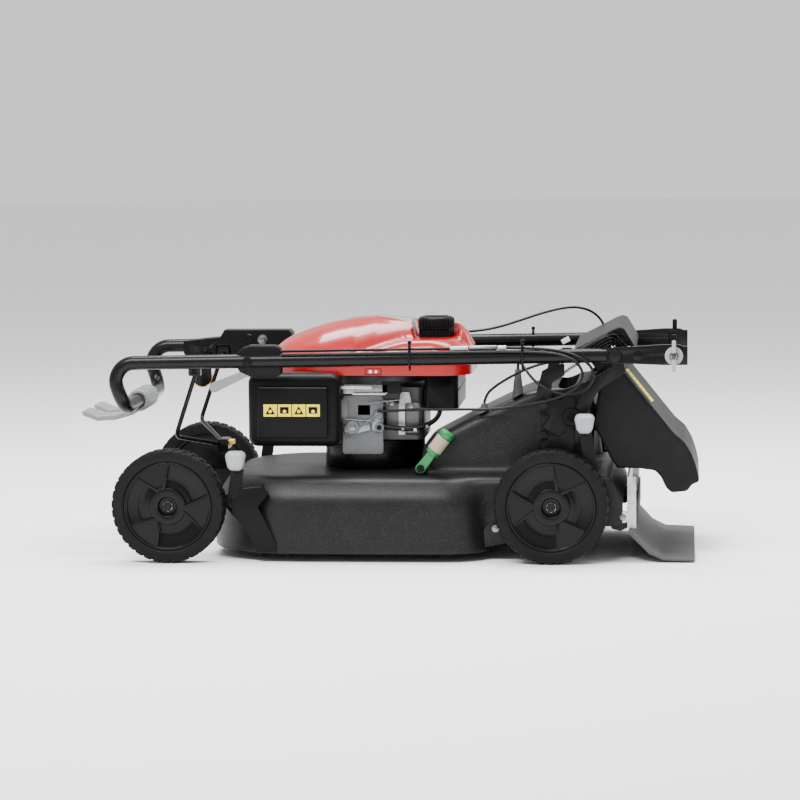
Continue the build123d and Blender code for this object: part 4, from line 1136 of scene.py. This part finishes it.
# The control points of each cable, in millimetres.
ROUTES = {
    "cable_far": [
        (-207.7, 203, 373.6), (-120, 200, 375), (-20, 199, 376.5), (75, 199, 377.5), (147, 200, 381),
        (189, 200, 389), (229, 200, 402), (265, 200, 414), (299, 200, 423), (330, 201, 427),
        (357, 205, 421), (377, 212, 406), (388, 218, 384), (389, 219, 356), (389, 216, 325),
        (391, 207, 293), (388, 195, 262), (379, 186, 235), (372, 182, 212), (372, 182, 192.3)],
    "cable_loop": [
        (-179.7, -200, 374.5), (-80, -200, 376), (20, -200, 377), (115, -200, 378.5), (195, -201, 380),
        (250, -203, 380), (290, -208, 379), (328, -215, 374), (358, -219, 362), (377, -220, 344),
        (377, -220, 322), (363, -219, 305), (340, -217, 297), (314, -215, 299), (291, -211, 309),
        (272, -203, 321), (260, -189, 334), (250, -172, 347), (243, -158, 352), (240, -150, 347),
        (240, -150, 338)],
    "cable_deck": [
        (351.7, -170, 357), (326, -169, 356), (298, -167, 352), (271, -165, 345), (249, -164, 336),
        (231, -163, 327), (212, -160, 316), (195, -156, 304), (183, -152, 292), (179, -150, 277)],
    "cable_engine": [
        (-14.5, -140, 261), (20, -142, 262), (60, -147, 265), (105, -156, 265), (145, -166, 267),
        (182, -172, 267), (217, -179, 270), (247, -192, 275), (274, -206, 281), (303, -216, 288),
        (331, -223, 299), (351, -227, 314), (360, -228, 332), (354, -227, 350), (336, -223, 364),
        (310, -218, 371.5), (278, -213, 373), (236, -212, 374), (180, -212, 373.4), (110, -212, 372.4),
        (20, -211.5, 371.5), (-80, -211.5, 370), (-179.5, -211, 369)],
    "fuel_hose": [
        (-14, -118, 232), (10, -121, 229), (38, -124, 227), (65, -122, 230), (86, -113, 240),
        (95, -103, 252), (96, -100, 260.4)],
}
# Length and diameter in metres, stiffness, and the points between which a cable turns with the handle.
CORDS = {
    "cable_far": (0.8209, 0.005, "stiff", ((0.30, 0.20, 0.42), (0.388, 0.20, 0.28))),
    "cable_loop": (0.788, 0.005, "stiff", ((0.30, -0.20, 0.374), (0.30, -0.1462, 0.3432))),
    "cable_deck": (0.2019, 0.005, "stiff", None),
    "cable_engine": (0.9644, 0.005, "stiff", ((0.30, -0.20, 0.367), (0.30, -0.20, 0.272))),
    "fuel_hose": (0.1308, 0.009, "medium", None),
}


class MOWER_OT_cables(bpy.types.Operator):
    """Control cables and fuel hose along their routes; those that cross the fold are left on no body, the
    rest ride on the deck
    """
    bl_idname = "mower.cables"
    bl_label = "Cables"

    def execute(self, context):
        for name, (length, diameter, stiffness, turns) in CORDS.items():
            cable = linked(name + "_line", nurbs_line(ROUTES[name], name + "_line", 3, 12))
            context.view_layer.update()
            line = bpy.data.meshes.new_from_object(cable)
            cable = tidy_mesh(tubed(cable, diameter / 2, 5), 60)
            cable.name = cable.data.name = name + "_skin"
            cable.data.materials.clear()
            cable.data.materials.append(finish("cable_sheath"))
            if turns:
                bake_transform(cable)
            else:
                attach(cable, "deck")
            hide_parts(name)
        return {"FINISHED"}


# ---------------------------------------------------------------- stage

class MOWER_OT_stage(bpy.types.Operator):
    """Camera, pale floor, world and soft studio lights"""
    bl_idname = "mower.stage"
    bl_label = "Stage"

    def execute(self, context):
        scene = context.scene
        eye = bpy.data.objects.new("camera", bpy.data.cameras.new("camera"))
        scene.collection.objects.link(eye)
        eye.data.sensor_width = 36
        eye.data.lens = 145.8
        eye.data.clip_start, eye.data.clip_end = 0.1, 60
        swing, dip, roll = radians(5.084), radians(5.358), radians(-0.471)
        turn = Matrix.Rotation(swing, 4, "Z") @ Matrix.Rotation(pi / 2 - dip, 4, "X")
        eye.matrix_world = Matrix.Translation((0.542, -5.937, 0.827)) @ turn @ Matrix.Rotation(roll, 4, "Z")
        scene.camera = eye

        deselect()
        bpy.ops.mesh.primitive_plane_add(size=40, location=(0, 0, -0.0006))
        floor = context.object
        floor.name = "floor"
        material = bpy.data.materials.new("Studio_floor")
        material.use_nodes = True
        tree = material.node_tree
        tree.nodes.clear()
        spot = put(tree, "ShaderNodeTexCoord").outputs["Object"]
        grain = put(tree, "ShaderNodeTexNoise", {"Vector": spot, "Scale": 3.0, "Detail": 4.0}).outputs["Fac"]
        rough = put(tree, "ShaderNodeMapRange", {"Value": grain, "To Min": 0.75, "To Max": 0.9}).outputs[0]
        shader = put(tree, "ShaderNodeBsdfPrincipled", {"Base Color": linear(scene.mower.floor_colour),
                                                        "Roughness": rough})
        put(tree, "ShaderNodeOutputMaterial", {"Surface": shader.outputs["BSDF"]})
        floor.data.materials.append(material)

        world = bpy.data.worlds.new("Studio")
        scene.world = world
        world.use_nodes = True
        world.node_tree.nodes.clear()
        sky = put(world.node_tree, "ShaderNodeBackground", {"Color": linear("#ffffff"), "Strength": 1.0})
        put(world.node_tree, "ShaderNodeOutputWorld", {"Surface": sky.outputs["Background"]})
        for name, spot, aim, size, watts in (
                ("key", (-1.0, -2.2, 3.2), (0, 0, 0.2), (2.6, 1.0), 230),
                ("top", (0.2, 0.5, 2.9), (0, 0, 0.2), (2.8, 1.0), 200),
                ("edge", (2.4, 1.6, 1.6), (0.1, 0, 0.25), (0.8, 1.8), 30)):
            lamp = bpy.data.objects.new(name, bpy.data.lights.new(name, "AREA"))
            lamp.data.shape = "RECTANGLE"
            lamp.data.size, lamp.data.size_y = size
            lamp.data.energy = watts
            lamp.location = spot
            lamp.rotation_euler = (Vector(aim) - Vector(spot)).to_track_quat("-Z", "Y").to_euler()
            scene.collection.objects.link(lamp)
        return {"FINISHED"}


# ---------------------------------------------------------------- panel and start

STEPS = (MOWER_OT_stage, MOWER_OT_cables, MOWER_OT_wheels, MOWER_OT_height_arms, MOWER_OT_engine_cover,
         MOWER_OT_fuel_cap, MOWER_OT_air_cleaner, MOWER_OT_engine, MOWER_OT_deck, MOWER_OT_mulch_lever,
         MOWER_OT_rear, MOWER_OT_brackets, MOWER_OT_handle, MOWER_OT_controls)


class MOWER_PT_panel(bpy.types.Panel):
    """Sizes and build steps of the mower"""
    bl_idname = "MOWER_PT_panel"
    bl_label = "Mower"
    bl_space_type = "VIEW_3D"
    bl_region_type = "UI"
    bl_category = "Mower"

    def draw(self, context):
        for name in MowerSettings.__annotations__:
            self.layout.prop(context.scene.mower, name)
        for step in STEPS:
            self.layout.operator(step.bl_idname)


CLASSES = (MowerSettings, *STEPS, MOWER_PT_panel)


def register():
    for made in CLASSES:
        bpy.utils.register_class(made)
    bpy.types.Scene.mower = bpy.props.PointerProperty(type=MowerSettings)


def unregister():
    del bpy.types.Scene.mower
    for made in reversed(CLASSES):
        bpy.utils.unregister_class(made)


def main():
    register()
    for step in STEPS:
        group, name = step.bl_idname.split(".")
        getattr(getattr(bpy.ops, group), name)()


if __name__ == "__main__":
    main()
